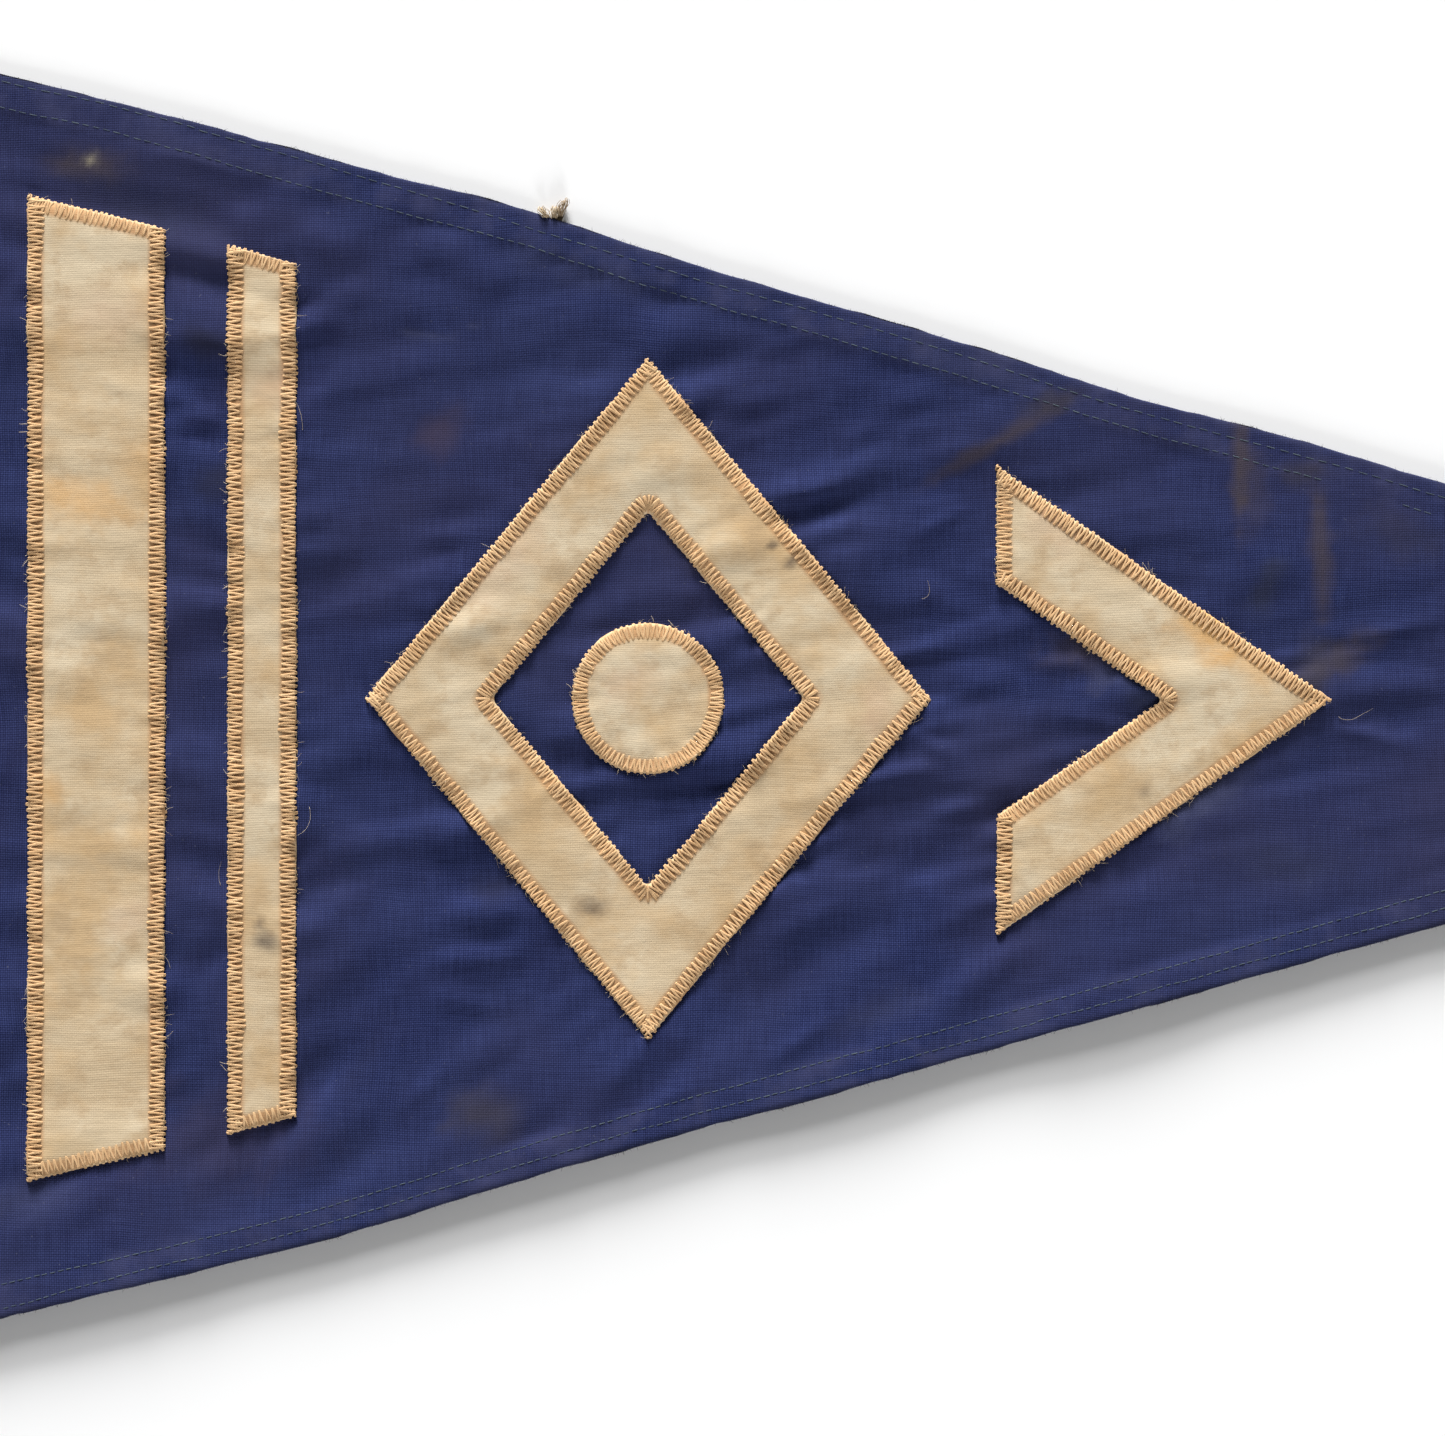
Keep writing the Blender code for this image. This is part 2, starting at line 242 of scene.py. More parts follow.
# Where the hem's two rows of stitches run, in mm in from the edge:
# share of the fly, top outer, top inner, bottom outer, bottom inner
HEM_ROWS = (
    (0.00, 3.2, 10.4, 3.6, 10.2),
    (0.09, 2.2, 10.3, 3.2, 10.8),
    (0.13, 1.6, 9.8, 4.6, 10.4),
    (0.19, 2.6, 10.6, 4.8, 10.2),
    (0.23, 3.0, 11.0, 5.2, 10.5),
    (0.30, 5.2, 11.2, 5.4, 10.8),
    (0.36, 4.8, 11.4, 5.2, 10.6),
    (0.43, 3.9, 10.9, 5.0, 10.9),
    (0.55, 4.6, 10.6, 4.9, 10.4),
    (0.70, 5.0, 10.9, 5.1, 10.7),
    (0.85, 4.8, 10.2, 4.8, 10.2),
    (1.00, 4.6, 9.6, 4.6, 9.6),
)

# How each row is sewn: side of the field, its column above, stitch length, share of it that is
# gap, thread radius
HEM_STITCHES = (
    (1, 1, 0.00425, 0.26, 0.00014),
    (1, 2, 0.00330, 0.22, 0.00014),
    (-1, 3, 0.00262, 0.20, 0.00015),
    (-1, 4, 0.00262, 0.20, 0.00015),
)

# What is left of the top hem's inner row, from one x to another
WORN_COLUMN = 2
WORN_SPANS = ((HEADING_X, 0.108), (0.129, 0.141), (0.146, TIP_X))

# Along one lock stitch: share of its length, height in thread radii, share of its sideways lean
STITCH = (
    (0.00, -1.30, 0.0),
    (0.10, 0.00, 0.6),
    (0.32, 0.22, 1.0),
    (0.68, 0.22, 1.0),
    (0.90, 0.00, 0.6),
    (1.00, -1.30, 0.0),
)

# Stains on the blue cloth, in mm: centre x, centre y, direction, half length, half width,
# colour, strength
BLUE_STAINS = (
    (80, 72, 88, 21, 3.4, "rust", 0.70),
    (84, 62, 80, 16, 6.0, "rust", 0.30),
    (105, 46, 93, 26, 3.8, "rust", 0.62),
    (100, 70, 20, 9, 5.0, "brown", 0.40),
    (112, 12, 30, 16, 6.0, "rust", 0.50),
    (102, 8, 60, 14, 9.0, "brown", 0.45),
    (88, 34, 70, 12, 5.0, "olive", 0.40),
    (67, -30, 40, 18, 9.0, "faded", 0.75),
    (30, 14, 0, 12, 10.0, "rust", 0.55),
    (38, 6, 0, 8, 6.0, "faded", 0.40),
    (60, 2, 20, 16, 7.0, "olive", 0.38),
    (4, 79, 30, 24, 3.0, "rust", 0.60),
    (22, 92, 14, 10, 4.0, "brown", 0.50),
    (-157, -131, 0, 13, 9.0, "brown", 0.55),
    (-152, -60, 20, 10, 6.0, "soot", 0.55),
    (-242, 110, -20, 9, 6.0, "soot", 0.65),
    (-238, 68, 30, 9, 6.0, "soot", 0.65),
    (-170, 83, 40, 10, 7.0, "russet", 0.62),
    (-86, 47, 0, 12, 9.0, "rust", 0.28),
    (-62, 16, 0, 8, 6.0, "russet", 0.40),
    (-279, 168, -12, 2.0, 1.6, "chalk", 0.95),
    (-277, 165, 60, 1.2, 0.8, "chalk", 0.90),
    (-282, 166, -8, 15, 5.5, "rust", 0.60),
    (-237, -139, 8, 32, 16, "russet", 0.30),
    (-262, -124, 0, 10, 8.0, "russet", 0.35),
    (-300, -158, 10, 18, 7.0, "faded", 0.30),
    (-262, 150, -22, 26, 8.0, "olive", 0.20),
    (-176, 112, -8, 10, 1.2, "faded", 0.55),
    (-161, 115, 12, 6, 1.0, "faded", 0.55),
    (-120, 131, -16, 34, 7.0, "faded", 0.22),
    (96, -52, -10, 22, 9.0, "olive", 0.18),
    (130, 50, -18, 18, 8.0, "brown", 0.20),
    (-196, -118, 60, 12, 5.0, "soot", 0.25),
    (-31, -98, 20, 16, 6.0, "faded", 0.25),
    (-8, 104, -16, 30, 6.0, "faded", 0.18),
    (-331, 96, 80, 30, 5.0, "brown", 0.20),
    (-330, -60, 84, 46, 4.0, "olive", 0.22),
    (252, 10, -6, 40, 8.0, "faded", 0.25),
    (338, -2, 0, 16, 6.0, "brown", 0.22),
)

# Stains on the cream cloth, with the same columns
CREAM_STAINS = (
    (-281, 61, -10, 20, 8.0, "orange", 0.55),
    (-263, 74, 30, 10, 6.0, "orange", 0.30),
    (-293, -31, 0, 7, 6.0, "orange", 0.42),
    (-295, -96, 20, 8, 6.0, "orange", 0.38),
    (-268, -70, 0, 9, 8.0, "pink", 0.30),
    (-274, 118, 0, 16, 9.0, "pink", 0.28),
    (-283, -140, 0, 14, 6.0, "tan", 0.45),
    (-277, 20, 8, 20, 4.0, "grey", 0.26),
    (-280, -52, 4, 18, 3.0, "grey", 0.28),
    (-224, -77, 10, 4.6, 3.0, "soot", 0.62),
    (-226, -71, 60, 2.6, 1.6, "soot", 0.50),
    (-226, 34, 0, 9, 12.0, "tan", 0.35),
    (-224, 96, 0, 9, 7.0, "pink", 0.30),
    (-228, -112, 0, 9, 7.0, "tan", 0.40),
    (-123, -66, -20, 6, 3.6, "soot", 0.50),
    (-60, 42, 50, 3.0, 1.6, "soot", 0.60),
    (-66, 47, 20, 2.0, 1.4, "soot", 0.55),
    (-150, 40, 50, 20, 9.0, "pink", 0.26),
    (-140, -50, -48, 18, 9.0, "tan", 0.36),
    (-58, -46, 52, 22, 8.0, "orange", 0.24),
    (-105, 92, 0, 9, 6.0, "tan", 0.42),
    (-176, 0, 90, 12, 7.0, "tan", 0.30),
    (-34, -4, 90, 12, 7.0, "pink", 0.30),
    (-105, -96, 0, 10, 6.0, "orange", 0.30),
    (-110, 4, 30, 12, 8.0, "pink", 0.25),
    (-97, -10, 0, 7, 6.0, "tan", 0.35),
    (70, 19, -36, 14, 9.0, "orange", 0.80),
    (84, 8, -30, 8, 6.0, "orange", 0.50),
    (22, 52, -36, 12, 8.0, "pink", 0.25),
    (38, -38, 36, 16, 8.0, "tan", 0.32),
    (12, -62, 30, 9, 6.0, "grey", 0.30),
    (50, -30, 40, 3.0, 2.0, "soot", 0.35),
)

# Colours in linear light
STAIN_COLOURS = {
    "rust": (0.0640, 0.0480, 0.0460),
    "faded": (0.0540, 0.0600, 0.1200),
    "olive": (0.0300, 0.0320, 0.0400),
    "brown": (0.0480, 0.0400, 0.0400),
    "russet": (0.0450, 0.0320, 0.0520),
    "soot": (0.0130, 0.0130, 0.0240),
    "chalk": (0.620, 0.560, 0.400),
    "orange": (0.600, 0.330, 0.110),
    "pink": (0.560, 0.385, 0.275),
    "tan": (0.470, 0.340, 0.190),
    "grey": (0.330, 0.290, 0.220),
}


def smooth(t):
    t = np.clip(t, 0.0, 1.0)
    return t * t * (3 - 2 * t)


def eased(table, column, at):
    """A smooth curve through one column of a table whose first column rises."""
    xs = np.array([row[0] for row in table])
    ys = np.array([row[column] for row in table])
    low = np.maximum(np.arange(len(xs)) - 1, 0)
    high = np.minimum(np.arange(len(xs)) + 1, len(xs) - 1)
    slopes = (ys[high] - ys[low]) / (xs[high] - xs[low])
    i = np.clip(np.searchsorted(xs, at, side="left") - 1, 0, len(xs) - 2)
    run = xs[i + 1] - xs[i]
    t = np.clip((at - xs[i]) / run, 0.0, 1.0)
    return (
        ys[i] * (1 + 2 * t) * (1 - t) ** 2
        + slopes[i] * run * t * (1 - t) ** 2
        + ys[i + 1] * t * t * (3 - 2 * t)
        - slopes[i + 1] * run * t * t * (1 - t)
    )


def edge_y(x, side):
    """The field's top edge (side 1) or bottom edge (side -1) at x."""
    share = (np.asarray(x, float) - HOIST_X) / FLY
    straight = side * HOIST / 2 * (1 - share) + (side * TIP_HEIGHT / 2 - TIP_DROP) * share
    return straight + side * MM * eased(EDGE_BOWS, 1 if side > 0 else 2, share)


def turned(x, y, centre_x, centre_y, degrees, half_length, half_width):
    """Where points lie along and across a spot of a table, each 1 at its ends."""
    turn = math.radians(degrees)
    dx = x / MM - centre_x
    dy = y / MM - centre_y
    along = (dx * math.cos(turn) + dy * math.sin(turn)) / half_length
    across = (dy * math.cos(turn) - dx * math.sin(turn)) / half_width
    return along, across


def ridges(table, x, y):
    """The sum of a table's soft ridges, in metres."""
    total = np.zeros_like(x)
    for *spot, height in table:
        along, across = turned(x, y, *spot)
        total += height * np.clip(1 - along**2, 0, None) ** 2 * np.exp(-(across**2))
    return total * MM


def soft_noise(x, y, size_x, size_y, seed):
    """Smooth noise from -1 to 1 with cells of the stated size."""
    cells = 128
    lattice = np.random.default_rng(seed).uniform(-1, 1, (cells, cells))
    u = np.asarray(x) / size_x + 1000.0
    v = np.asarray(y) / size_y + 1000.0
    i = np.floor(u).astype(int)
    j = np.floor(v).astype(int)
    s = smooth(u - i)
    t = smooth(v - j)

    def corner(a, b):
        return lattice[(i + a) % cells, (j + b) % cells]

    low = corner(0, 0) * (1 - s) + corner(1, 0) * s
    high = corner(0, 1) * (1 - s) + corner(1, 1) * s
    return low * (1 - t) + high * t


def hem_depth(x, y, side):
    """How far a point lies in from one edge of the field."""
    return side * (edge_y(x, side) - y)


def in_hem(x, y):
    """1 within the folded hems, easing to 0 just past their inner edges."""
    nearest = np.minimum(hem_depth(x, y, 1), hem_depth(x, y, -1))
    nearest = np.minimum(nearest, TIP_X - x)
    away = smooth((x - HEADING_X) / LIFT_RUN)
    return away * (1 - smooth((nearest - HEM_WIDTH + 0.0020) / 0.0040))


def outline_length(points):
    return np.concatenate([[0.0], np.cumsum(np.linalg.norm(np.diff(points, axis=0), axis=1))])


def sampled(points, step):
    """A polyline with points at even steps along it."""
    points = np.asarray(points, float)
    run = outline_length(points)
    count = max(2, int(round(run[-1] / step)) + 1)
    at = np.linspace(0, run[-1], count)
    return np.stack([np.interp(at, run, points[:, k]) for k in range(points.shape[1])], axis=1)


def band_corners(span):
    """Lower left, lower right, upper right and upper left corners of an upright band."""
    left, right = span
    low = [float(edge_y(x, -1)) + BAND_BOTTOM_MARGIN for x in span]
    high = [float(edge_y(x, 1)) - BAND_TOP_MARGIN for x in span]
    return np.array([(left, low[0]), (right, low[1]), (right, high[1]), (left, high[0])])


def lozenge_corners(scale):
    x, y = LOZENGE_CENTRE
    a, b = (half * scale for half in LOZENGE_HALF)
    return np.array([(x + a, y), (x, y + b), (x - a, y), (x, y - b)])


def lozenge_inner_scale():
    a, b = LOZENGE_HALF
    return 1 - LOZENGE_STROKE * math.hypot(a, b) / (a * b)


def chevron_corners():
    """The outer corners from the upper end to the lower one, then the inner ones."""
    run = CHEVRON_POINT - CHEVRON_BACK
    slant = math.hypot(run, CHEVRON_HALF)
    stroke_x = CHEVRON_STROKE * slant / CHEVRON_HALF
    stroke_y = CHEVRON_STROKE * slant / run
    y = -CHEVRON_DROP
    outer = [(CHEVRON_BACK, y + CHEVRON_HALF), (CHEVRON_POINT, y), (CHEVRON_BACK, y - CHEVRON_HALF)]
    inner = [
        (CHEVRON_BACK, y + CHEVRON_HALF - stroke_y),
        (CHEVRON_POINT - stroke_x, y),
        (CHEVRON_BACK, y - CHEVRON_HALF + stroke_y),
    ]
    return np.array(outer), np.array(inner)


def circle_points(radius, count):
    turn = np.linspace(0, 2 * math.pi, count + 1)
    x, y = LOZENGE_CENTRE
    return np.stack([x + radius * np.cos(turn), y + radius * np.sin(turn)], axis=1)


def patch_sides():
    """Every patch's raw edges: name to a list of (points, closed), cloth on the left of each."""
    wide = band_corners(WIDE_BAND)
    narrow = band_corners(NARROW_BAND)
    outer = lozenge_corners(1.0)
    inner = lozenge_corners(lozenge_inner_scale())[::-1]
    front, back = chevron_corners()
    round_chevron = np.array([front[0], back[0], back[1], back[2], front[2], front[1]])
    loops = {
        "patch_wide_band": [wide],
        "patch_narrow_band": [narrow],
        "patch_lozenge": [outer, inner],
        "patch_chevron": [round_chevron],
    }
    sides = {}
    for name, corners in loops.items():
        sides[name] = []
        for loop in corners:
            for i in range(len(loop)):
                sides[name].append((np.array([loop[i], loop[(i + 1) % len(loop)]]), False))
    sides["patch_disc"] = [(circle_points(DISC_RADIUS, 96), True)]
    return sides


SIDES = patch_sides()
BORDER_STEP = 0.0015


def border_tree():
    """A search tree of points along every raw edge, and each point's distance along its edge."""
    points = []
    runs = []
    reach = 0.0
    for sides in SIDES.values():
        for line, _ in sides:
            line = sampled(line, BORDER_STEP)
            points.append(line)
            runs.append(outline_length(line) + reach)
            reach += 1.0
    points = np.concatenate(points)
    tree = kdtree.KDTree(len(points))
    for i, (x, y) in enumerate(points):
        tree.insert((x, y, 0.0), i)
    tree.balance()
    return tree, np.concatenate(runs)


BORDERS, BORDER_RUNS = border_tree()


def near_border(x, y):
    """For each point, how far the nearest raw edge is and how far along it the nearest place is."""
    shape = x.shape
    found = [BORDERS.find((a, b, 0.0)) for a, b in zip(x.ravel().tolist(), y.ravel().tolist())]
    away = np.array([f[2] for f in found]).reshape(shape)
    run = BORDER_RUNS[np.array([f[1] for f in found])].reshape(shape)
    return away, run


def patch_loops():
    """The outlines of every sewn-on shape by its name, as closed loops of corners."""
    loops = {}
    for name, sides in SIDES.items():
        lines = [line for line, _ in sides]
        if name == "patch_lozenge":
            loops[name] = [np.array([line[0] for line in part]) for part in (lines[:4], lines[4:])]
        elif name == "patch_disc":
            loops[name] = [lines[0][:-1]]
        else:
            loops[name] = [np.array([line[0] for line in lines])]
    return loops


def in_polygon(x, y, loop):
    inside = np.zeros(x.shape, bool)
    for (ax, ay), (bx, by) in zip(loop, np.roll(loop, -1, axis=0)):
        if ay == by:
            continue
        spans = (ay > y) != (by > y)
        inside ^= spans & (x < ax + (y - ay) * (bx - ax) / (by - ay))
    return inside


PATCH_LOOPS = patch_loops()


def inside_patches(x, y):
    """1 within a sewn-on shape and 0 elsewhere."""
    inside = np.zeros(x.shape, bool)
    for loops in PATCH_LOOPS.values():
        for loop in loops:
            inside ^= in_polygon(x, y, loop)
    return inside.astype(float)


def underside(x, y):
    """The field's underside, without its fine wrinkles."""
    lift = (HEADING_LEG + GAP) * (1 - smooth((x - HEADING_X) / LIFT_RUN))
    fade = np.clip((x - HEADING_X - GAP) / LIFT_RUN, 0, 1)
    folds = np.clip(ridges(FOLDS, x, y) - FLAT_BELOW, 0, None)
    away, _ = near_border(x, y)
    stiff = inside_patches(x, y) * smooth(away / 0.004)
    return lift + fade * folds * (1 - 0.35 * stiff)


def slanted(x, y, degrees, length, width, seed):
    """Long soft wrinkles that run at an angle, bent a little on their way."""
    turn = math.radians(degrees)
    along = x * math.cos(turn) + y * math.sin(turn)
    across = y * math.cos(turn) - x * math.sin(turn)
    across = across + 0.004 * soft_noise(along, across, 0.045, 0.030, seed + 1)
    long_ones = soft_noise(along, across, length, width, seed + 2)
    short_ones = soft_noise(along, across, length * 0.5, width * 0.52, seed + 3)
    return long_ones + 0.42 * short_ones


def fine_wrinkles(x, y):
    """The small unevenness of the thin cloth, never below its underside."""
    fade = smooth((x - HEADING_X) / LIFT_RUN) * smooth((TIP_X - x) / 0.02)
    low_side = smooth((-y - 0.055) / 0.035)
    left = smooth((-0.215 - x) / 0.030) * (1 - low_side)
    middle = (1 - left) * (1 - low_side)
    streaks = left * slanted(x, y, -11, 0.034, 0.0100, 110)
    streaks = streaks + middle * slanted(x, y, 14, 0.032, 0.0095, 120)
    streaks = streaks + low_side * slanted(x, y, 36, 0.040, 0.0125, 130)
    strength = 0.42 + 0.50 * smooth((0.030 - x) / 0.060)
    strength = strength * (0.80 + 0.35 * soft_noise(x, y, 0.055, 0.045, 15))
    swells = soft_noise(x, y, 0.060, 0.040, 13)
    away, run = near_border(x, y)
    strength = strength * (0.65 + 0.65 * np.exp(-((away / 0.020) ** 2)))
    stiff = inside_patches(x, y) * smooth(away / 0.003)
    jitter = soft_noise(run, away, 0.012, 0.5, 14)
    pucker = np.sin(2 * math.pi * run / 0.0092 + 2.6 * jitter)
    held = np.exp(-((away / 0.0075) ** 2))
    hem = in_hem(x, y)
    creases = ridges(CREASES, x, y)
    quiet = (1 - 0.70 * hem) * (1 - 0.84 * stiff)
    total = 0.00140 * strength * streaks + 0.00040 * swells + 1.8 * creases
    total = total * quiet + 0.00014 * pucker * held * (0.6 + 0.4 * jitter)
    return fade * np.clip(total + 0.00085, 0, None)


def row_y(x, side, column):
    """Where a row of hem stitches runs: it keeps about its distance from the edge."""
    share = (np.asarray(x, float) - HOIST_X) / FLY
    depth = MM * eased(HEM_ROWS, column, share)
    sway = 0.00022 * soft_noise(x, np.zeros_like(x), 0.011, 1.0, 20 + column)
    width = (edge_y(x, 1) - edge_y(x, -1)) * 0.40
    return edge_y(x, side) - side * (np.minimum(depth, width) + sway)


def hem_shape(x, y):
    """The folded hem's extra thickness, its rounded rim, and the grooves that the rows pull in."""
    hem = in_hem(x, y)
    nearest = np.clip(np.minimum(hem_depth(x, y, 1), hem_depth(x, y, -1)), 0, None)
    nearest = np.minimum(nearest, np.clip(TIP_X - x, 0, None))
    rim = 1 - np.exp(-((nearest / 0.0011) ** 2))
    lean = x + 0.8 * nearest
    lumps = 1 + 0.45 * soft_noise(lean, y, 0.0034, 0.008, 31)
    lumps = lumps + 0.35 * soft_noise(lean, y, 0.0018, 0.006, 32)
    groove = np.zeros_like(x)
    for side, column, pitch, _, _ in HEM_STITCHES:
        off = (y - row_y(x, side, column)) / 0.0009
        beat = 0.75 + 0.25 * np.cos(2 * math.pi * x / pitch)
        groove += np.exp(-(off**2)) * beat
    return hem * (HEM_EXTRA * (0.35 + 0.65 * rim) * lumps - 0.00007 * groove)


def curl(x, y):
    """How far the lower edge lifts off the surface, a little more in some places."""
    depth = np.clip(hem_depth(x, y, -1), 0, CURL_RUN)
    ends = smooth((x - HEADING_X) / 0.030) * smooth((TIP_X - x) / 0.060)
    uneven = 0.80 + 0.30 * soft_noise(x, np.zeros_like(x), 0.045, 1.0, 35)
    return CURL * uneven * ends * (1 - depth / CURL_RUN) ** 1.25


def blue_top(x, y):
    plain = BACK_CLEAR + BUNTING + underside(x, y) + fine_wrinkles(x, y)
    return plain + hem_shape(x, y) + curl(x, y)


def add_mesh(name, verts, faces, smooth_faces=True):
    mesh = bpy.data.meshes.new(name)
    mesh.from_pydata(np.asarray(verts).tolist(), [], faces)
    mesh.update()
    if smooth_faces:
        mesh.shade_smooth()
    obj = bpy.data.objects.new(name, mesh)
    bpy.context.scene.collection.objects.link(obj)
    return obj


def slab(name, top, bottom, closed=False):
    """A thin sheet from two matching grids of points; closed joins its first and last columns."""
    n, m = top.shape[:2]
    verts = np.concatenate([top.reshape(-1, 3), bottom.reshape(-1, 3)])
    columns = n if closed else n - 1
    faces = []
    under = n * m

    def index(i, j):
        return (i % n) * m + j

    for i in range(columns):
        for j in range(m - 1):
            a, b, c, d = index(i, j), index(i + 1, j), index(i + 1, j + 1), index(i, j + 1)
            faces.append((a, b, c, d))
            faces.append((d + under, c + under, b + under, a + under))
        for j, flip in ((0, False), (m - 1, True)):
            a, b = index(i, j), index(i + 1, j)
            side = (a, a + under, b + under, b)
            faces.append(side[::-1] if flip else side)
    if not closed:
        for j in range(m - 1):
            for i, flip in ((0, True), (n - 1, False)):
                a, b = index(i, j), index(i, j + 1)
                side = (a, a + under, b + under, b)
                faces.append(side[::-1] if flip else side)
    return add_mesh(name, verts, faces)


def paint(obj, name, colours):
    """A colour attribute on the points of a mesh; colours is (count, 4)."""
    layer = obj.data.color_attributes.new(name, "FLOAT_COLOR", "POINT")
    layer.data.foreach_set("color", np.ascontiguousarray(colours, np.float32).ravel())


def paint_sheet(obj, name, colours):
    """The same grid of colours on both faces of a slab."""
    paint(obj, name, np.concatenate([colours.reshape(-1, 4)] * 2))


def stain_colours(table, x, y, seed):
    """The mixed stain colour at each point and how strongly it covers the cloth."""
    colour = np.zeros(x.shape + (3,))
    cover = np.zeros_like(x)
    ragged = 0.30 * soft_noise(x, y, 0.005, 0.005, seed)
    ragged = ragged + 0.18 * soft_noise(x, y, 0.0021, 0.0021, seed + 1)
    for *spot, kind, strength in table:
        along, across = turned(x, y, *spot)
        inside = 1.35 - (np.abs(along) ** 2.6 + np.abs(across) ** 2.0) ** 0.45 + ragged
        amount = strength * smooth(inside / 1.3)
        over = amount[..., None]
        colour = colour * (1 - over) + np.array(STAIN_COLOURS[kind]) * over
        cover = cover + amount - cover * amount
    safe = np.maximum(cover, 1e-6)[..., None]
    return np.concatenate([np.clip(colour / safe, 0, 1), cover[..., None]], axis=-1)


def edge_wobble(x, side):
    """How far the folded edge stands out of its smooth line, a little in and out along it."""
    still = smooth((x - HEADING_X) / 0.010) * smooth((TIP_X - x) / 0.020)
    slow = soft_noise(x, np.zeros_like(x), 0.0120, 1.0, 25 + side)
    quick = soft_noise(x, np.zeros_like(x), 0.0042, 1.0, 28 + side)
    return still * (0.00036 * slow + 0.00016 * quick - 0.00020)


def field_grid():
    """The places of the field's fine grid, close together where the photograph looks."""
    photo_end = 0.150
    first = np.linspace(FIELD_X, photo_end, 250)
    second = np.linspace(photo_end, TIP_X, 76)[1:]
    xs = np.concatenate([first, second])
    low = edge_y(xs, -1) - edge_wobble(xs, -1)
    high = edge_y(xs, 1) + edge_wobble(xs, 1)
    hem = np.minimum(0.0140 / (high - low), 0.36)
    rim = np.array([0.0, 0.03, 0.08, 0.15, 0.24, 0.34, 0.44, 0.54, 0.64, 0.74, 0.82, 0.90, 1.0])
    shares = []
    for h in hem:
        inner = np.linspace(h, 1 - h, 116)
        shares.append(np.concatenate([rim * h, inner[1:-1], 1 - rim[::-1] * h]))
    shares = np.array(shares)
    ys = low[:, None] + (high - low)[:, None] * shares
    return np.repeat(xs[:, None], ys.shape[1], axis=1), ys


def build_field(material):
    x, y = field_grid()
    top = blue_top(x, y)
    hem = in_hem(x, y)
    rim = np.minimum(hem_depth(x, y, 1), hem_depth(x, y, -1))
    rim = np.clip(np.minimum(rim, TIP_X - x), 0, None)
    rounding = 0.00045 * np.exp(-((rim / 0.0006) ** 2)) * hem
    bottom = top - BUNTING - np.clip(hem_shape(x, y), 0, None) * 0.9 + rounding
    bottom = np.maximum(bottom, BACK_CLEAR * 0.2)
    top = top - rounding * 0.6
    obj = slab("field_cloth", np.stack([x, y, top], -1), np.stack([x, y, bottom], -1))
    away, _ = near_border(x, y)
    by_sewing = np.exp(-((away / 0.006) ** 2))
    rim_painted_shade = np.exp(-rim / 0.0012)
    paint_sheet(obj, "stain", stain_colours(BLUE_STAINS, x, y, 51))
    # The third channel of place, strongest at the folded rim, carries a painted shade along the edge
    paint_sheet(obj, "place", np.stack([hem, by_sewing, rim_painted_shade, np.ones_like(x)], -1))
    obj.data.materials.append(material)
    return obj


def corner_softened(points, radius, closed, count):
    """A polyline with its corners turned into short curves, sampled evenly corner to corner."""
    points = np.asarray(points, float)
    n = len(points)
    out = []
    spans = range(n if closed else n - 1)
    for i in spans:
        a = points[i]
        b = points[(i + 1) % n]
        t = np.linspace(0, 1, count, endpoint=False)
        out.append(a + (b - a) * t[:, None])
    out = np.concatenate(out) if closed else np.concatenate(out + [points[-1:]])
    reach = radius * 1.2
    soft = out.copy()
    inner = range(n) if closed else range(1, n - 1)
    for i in inner:
        corner = points[i]
        before = points[i - 1]
        after = points[(i + 1) % n]
        back = (before - corner) / np.linalg.norm(before - corner)
        ahead = (after - corner) / np.linalg.norm(after - corner)
        for k in range(len(out)):
            off = out[k] - corner
            run = np.linalg.norm(off)
            if run < reach:
                side = -1 if np.dot(off, back) > np.dot(off, ahead) else 1
                t = 0.5 + side * run / reach / 2
                start = corner + back * reach
                end = corner + ahead * reach
                soft[k] = start * (1 - t) ** 2 + 2 * corner * t * (1 - t) + end * t * t
    return soft


def stroke_grid(rail_a, rail_b, across):
    t = np.linspace(0, 1, across)[None, :, None]
    return rail_a[:, None, :] * (1 - t) + rail_b[:, None, :] * t


def end_rounded(rail_a, rail_b, radius):
    """The two rails with their ends drawn in, so that the sheet's corners are round."""
    a = rail_a.copy()
    b = rail_b.copy()
    middle = (rail_a + rail_b) / 2
    run = outline_length(middle)
    for k in range(len(a)):
        d = min(run[k], run[-1] - run[k])
        if d < radius:
            inset = radius - math.sqrt(max(0.0, radius**2 - (radius - d) ** 2))
            width = np.linalg.norm(rail_b[k] - rail_a[k])
            share = inset / width
            a[k] = rail_a[k] * (1 - share) + rail_b[k] * share
            b[k] = rail_b[k] * (1 - share) + rail_a[k] * share
    return a, b


def band_grid(span):
    low_left, low_right, high_right, high_left = band_corners(span)
    width = span[1] - span[0]
    near = np.array([0.0, 0.0003, 0.0008, 0.0015, 0.0023])
    length = np.linalg.norm(high_left - low_left)
    body = np.linspace(near[-1], length - near[-1], int(length / 0.0015))[1:-1]
    t = (np.concatenate([near, body, length - near[::-1]]) / length)[:, None]
    left = low_left * (1 - t) + high_left * t
    right = low_right * (1 - t) + high_right * t
    a, b = end_rounded(right, left, PATCH_CORNER)
    return stroke_grid(a, b, int(width / 0.0013)), False


def lozenge_grid():
    per_side = 88
    outer = corner_softened(lozenge_corners(1.0), PATCH_CORNER * 1.6, True, per_side)
    inner = corner_softened(lozenge_corners(lozenge_inner_scale()), PATCH_CORNER, True, per_side)
    return stroke_grid(outer, inner, 23), True


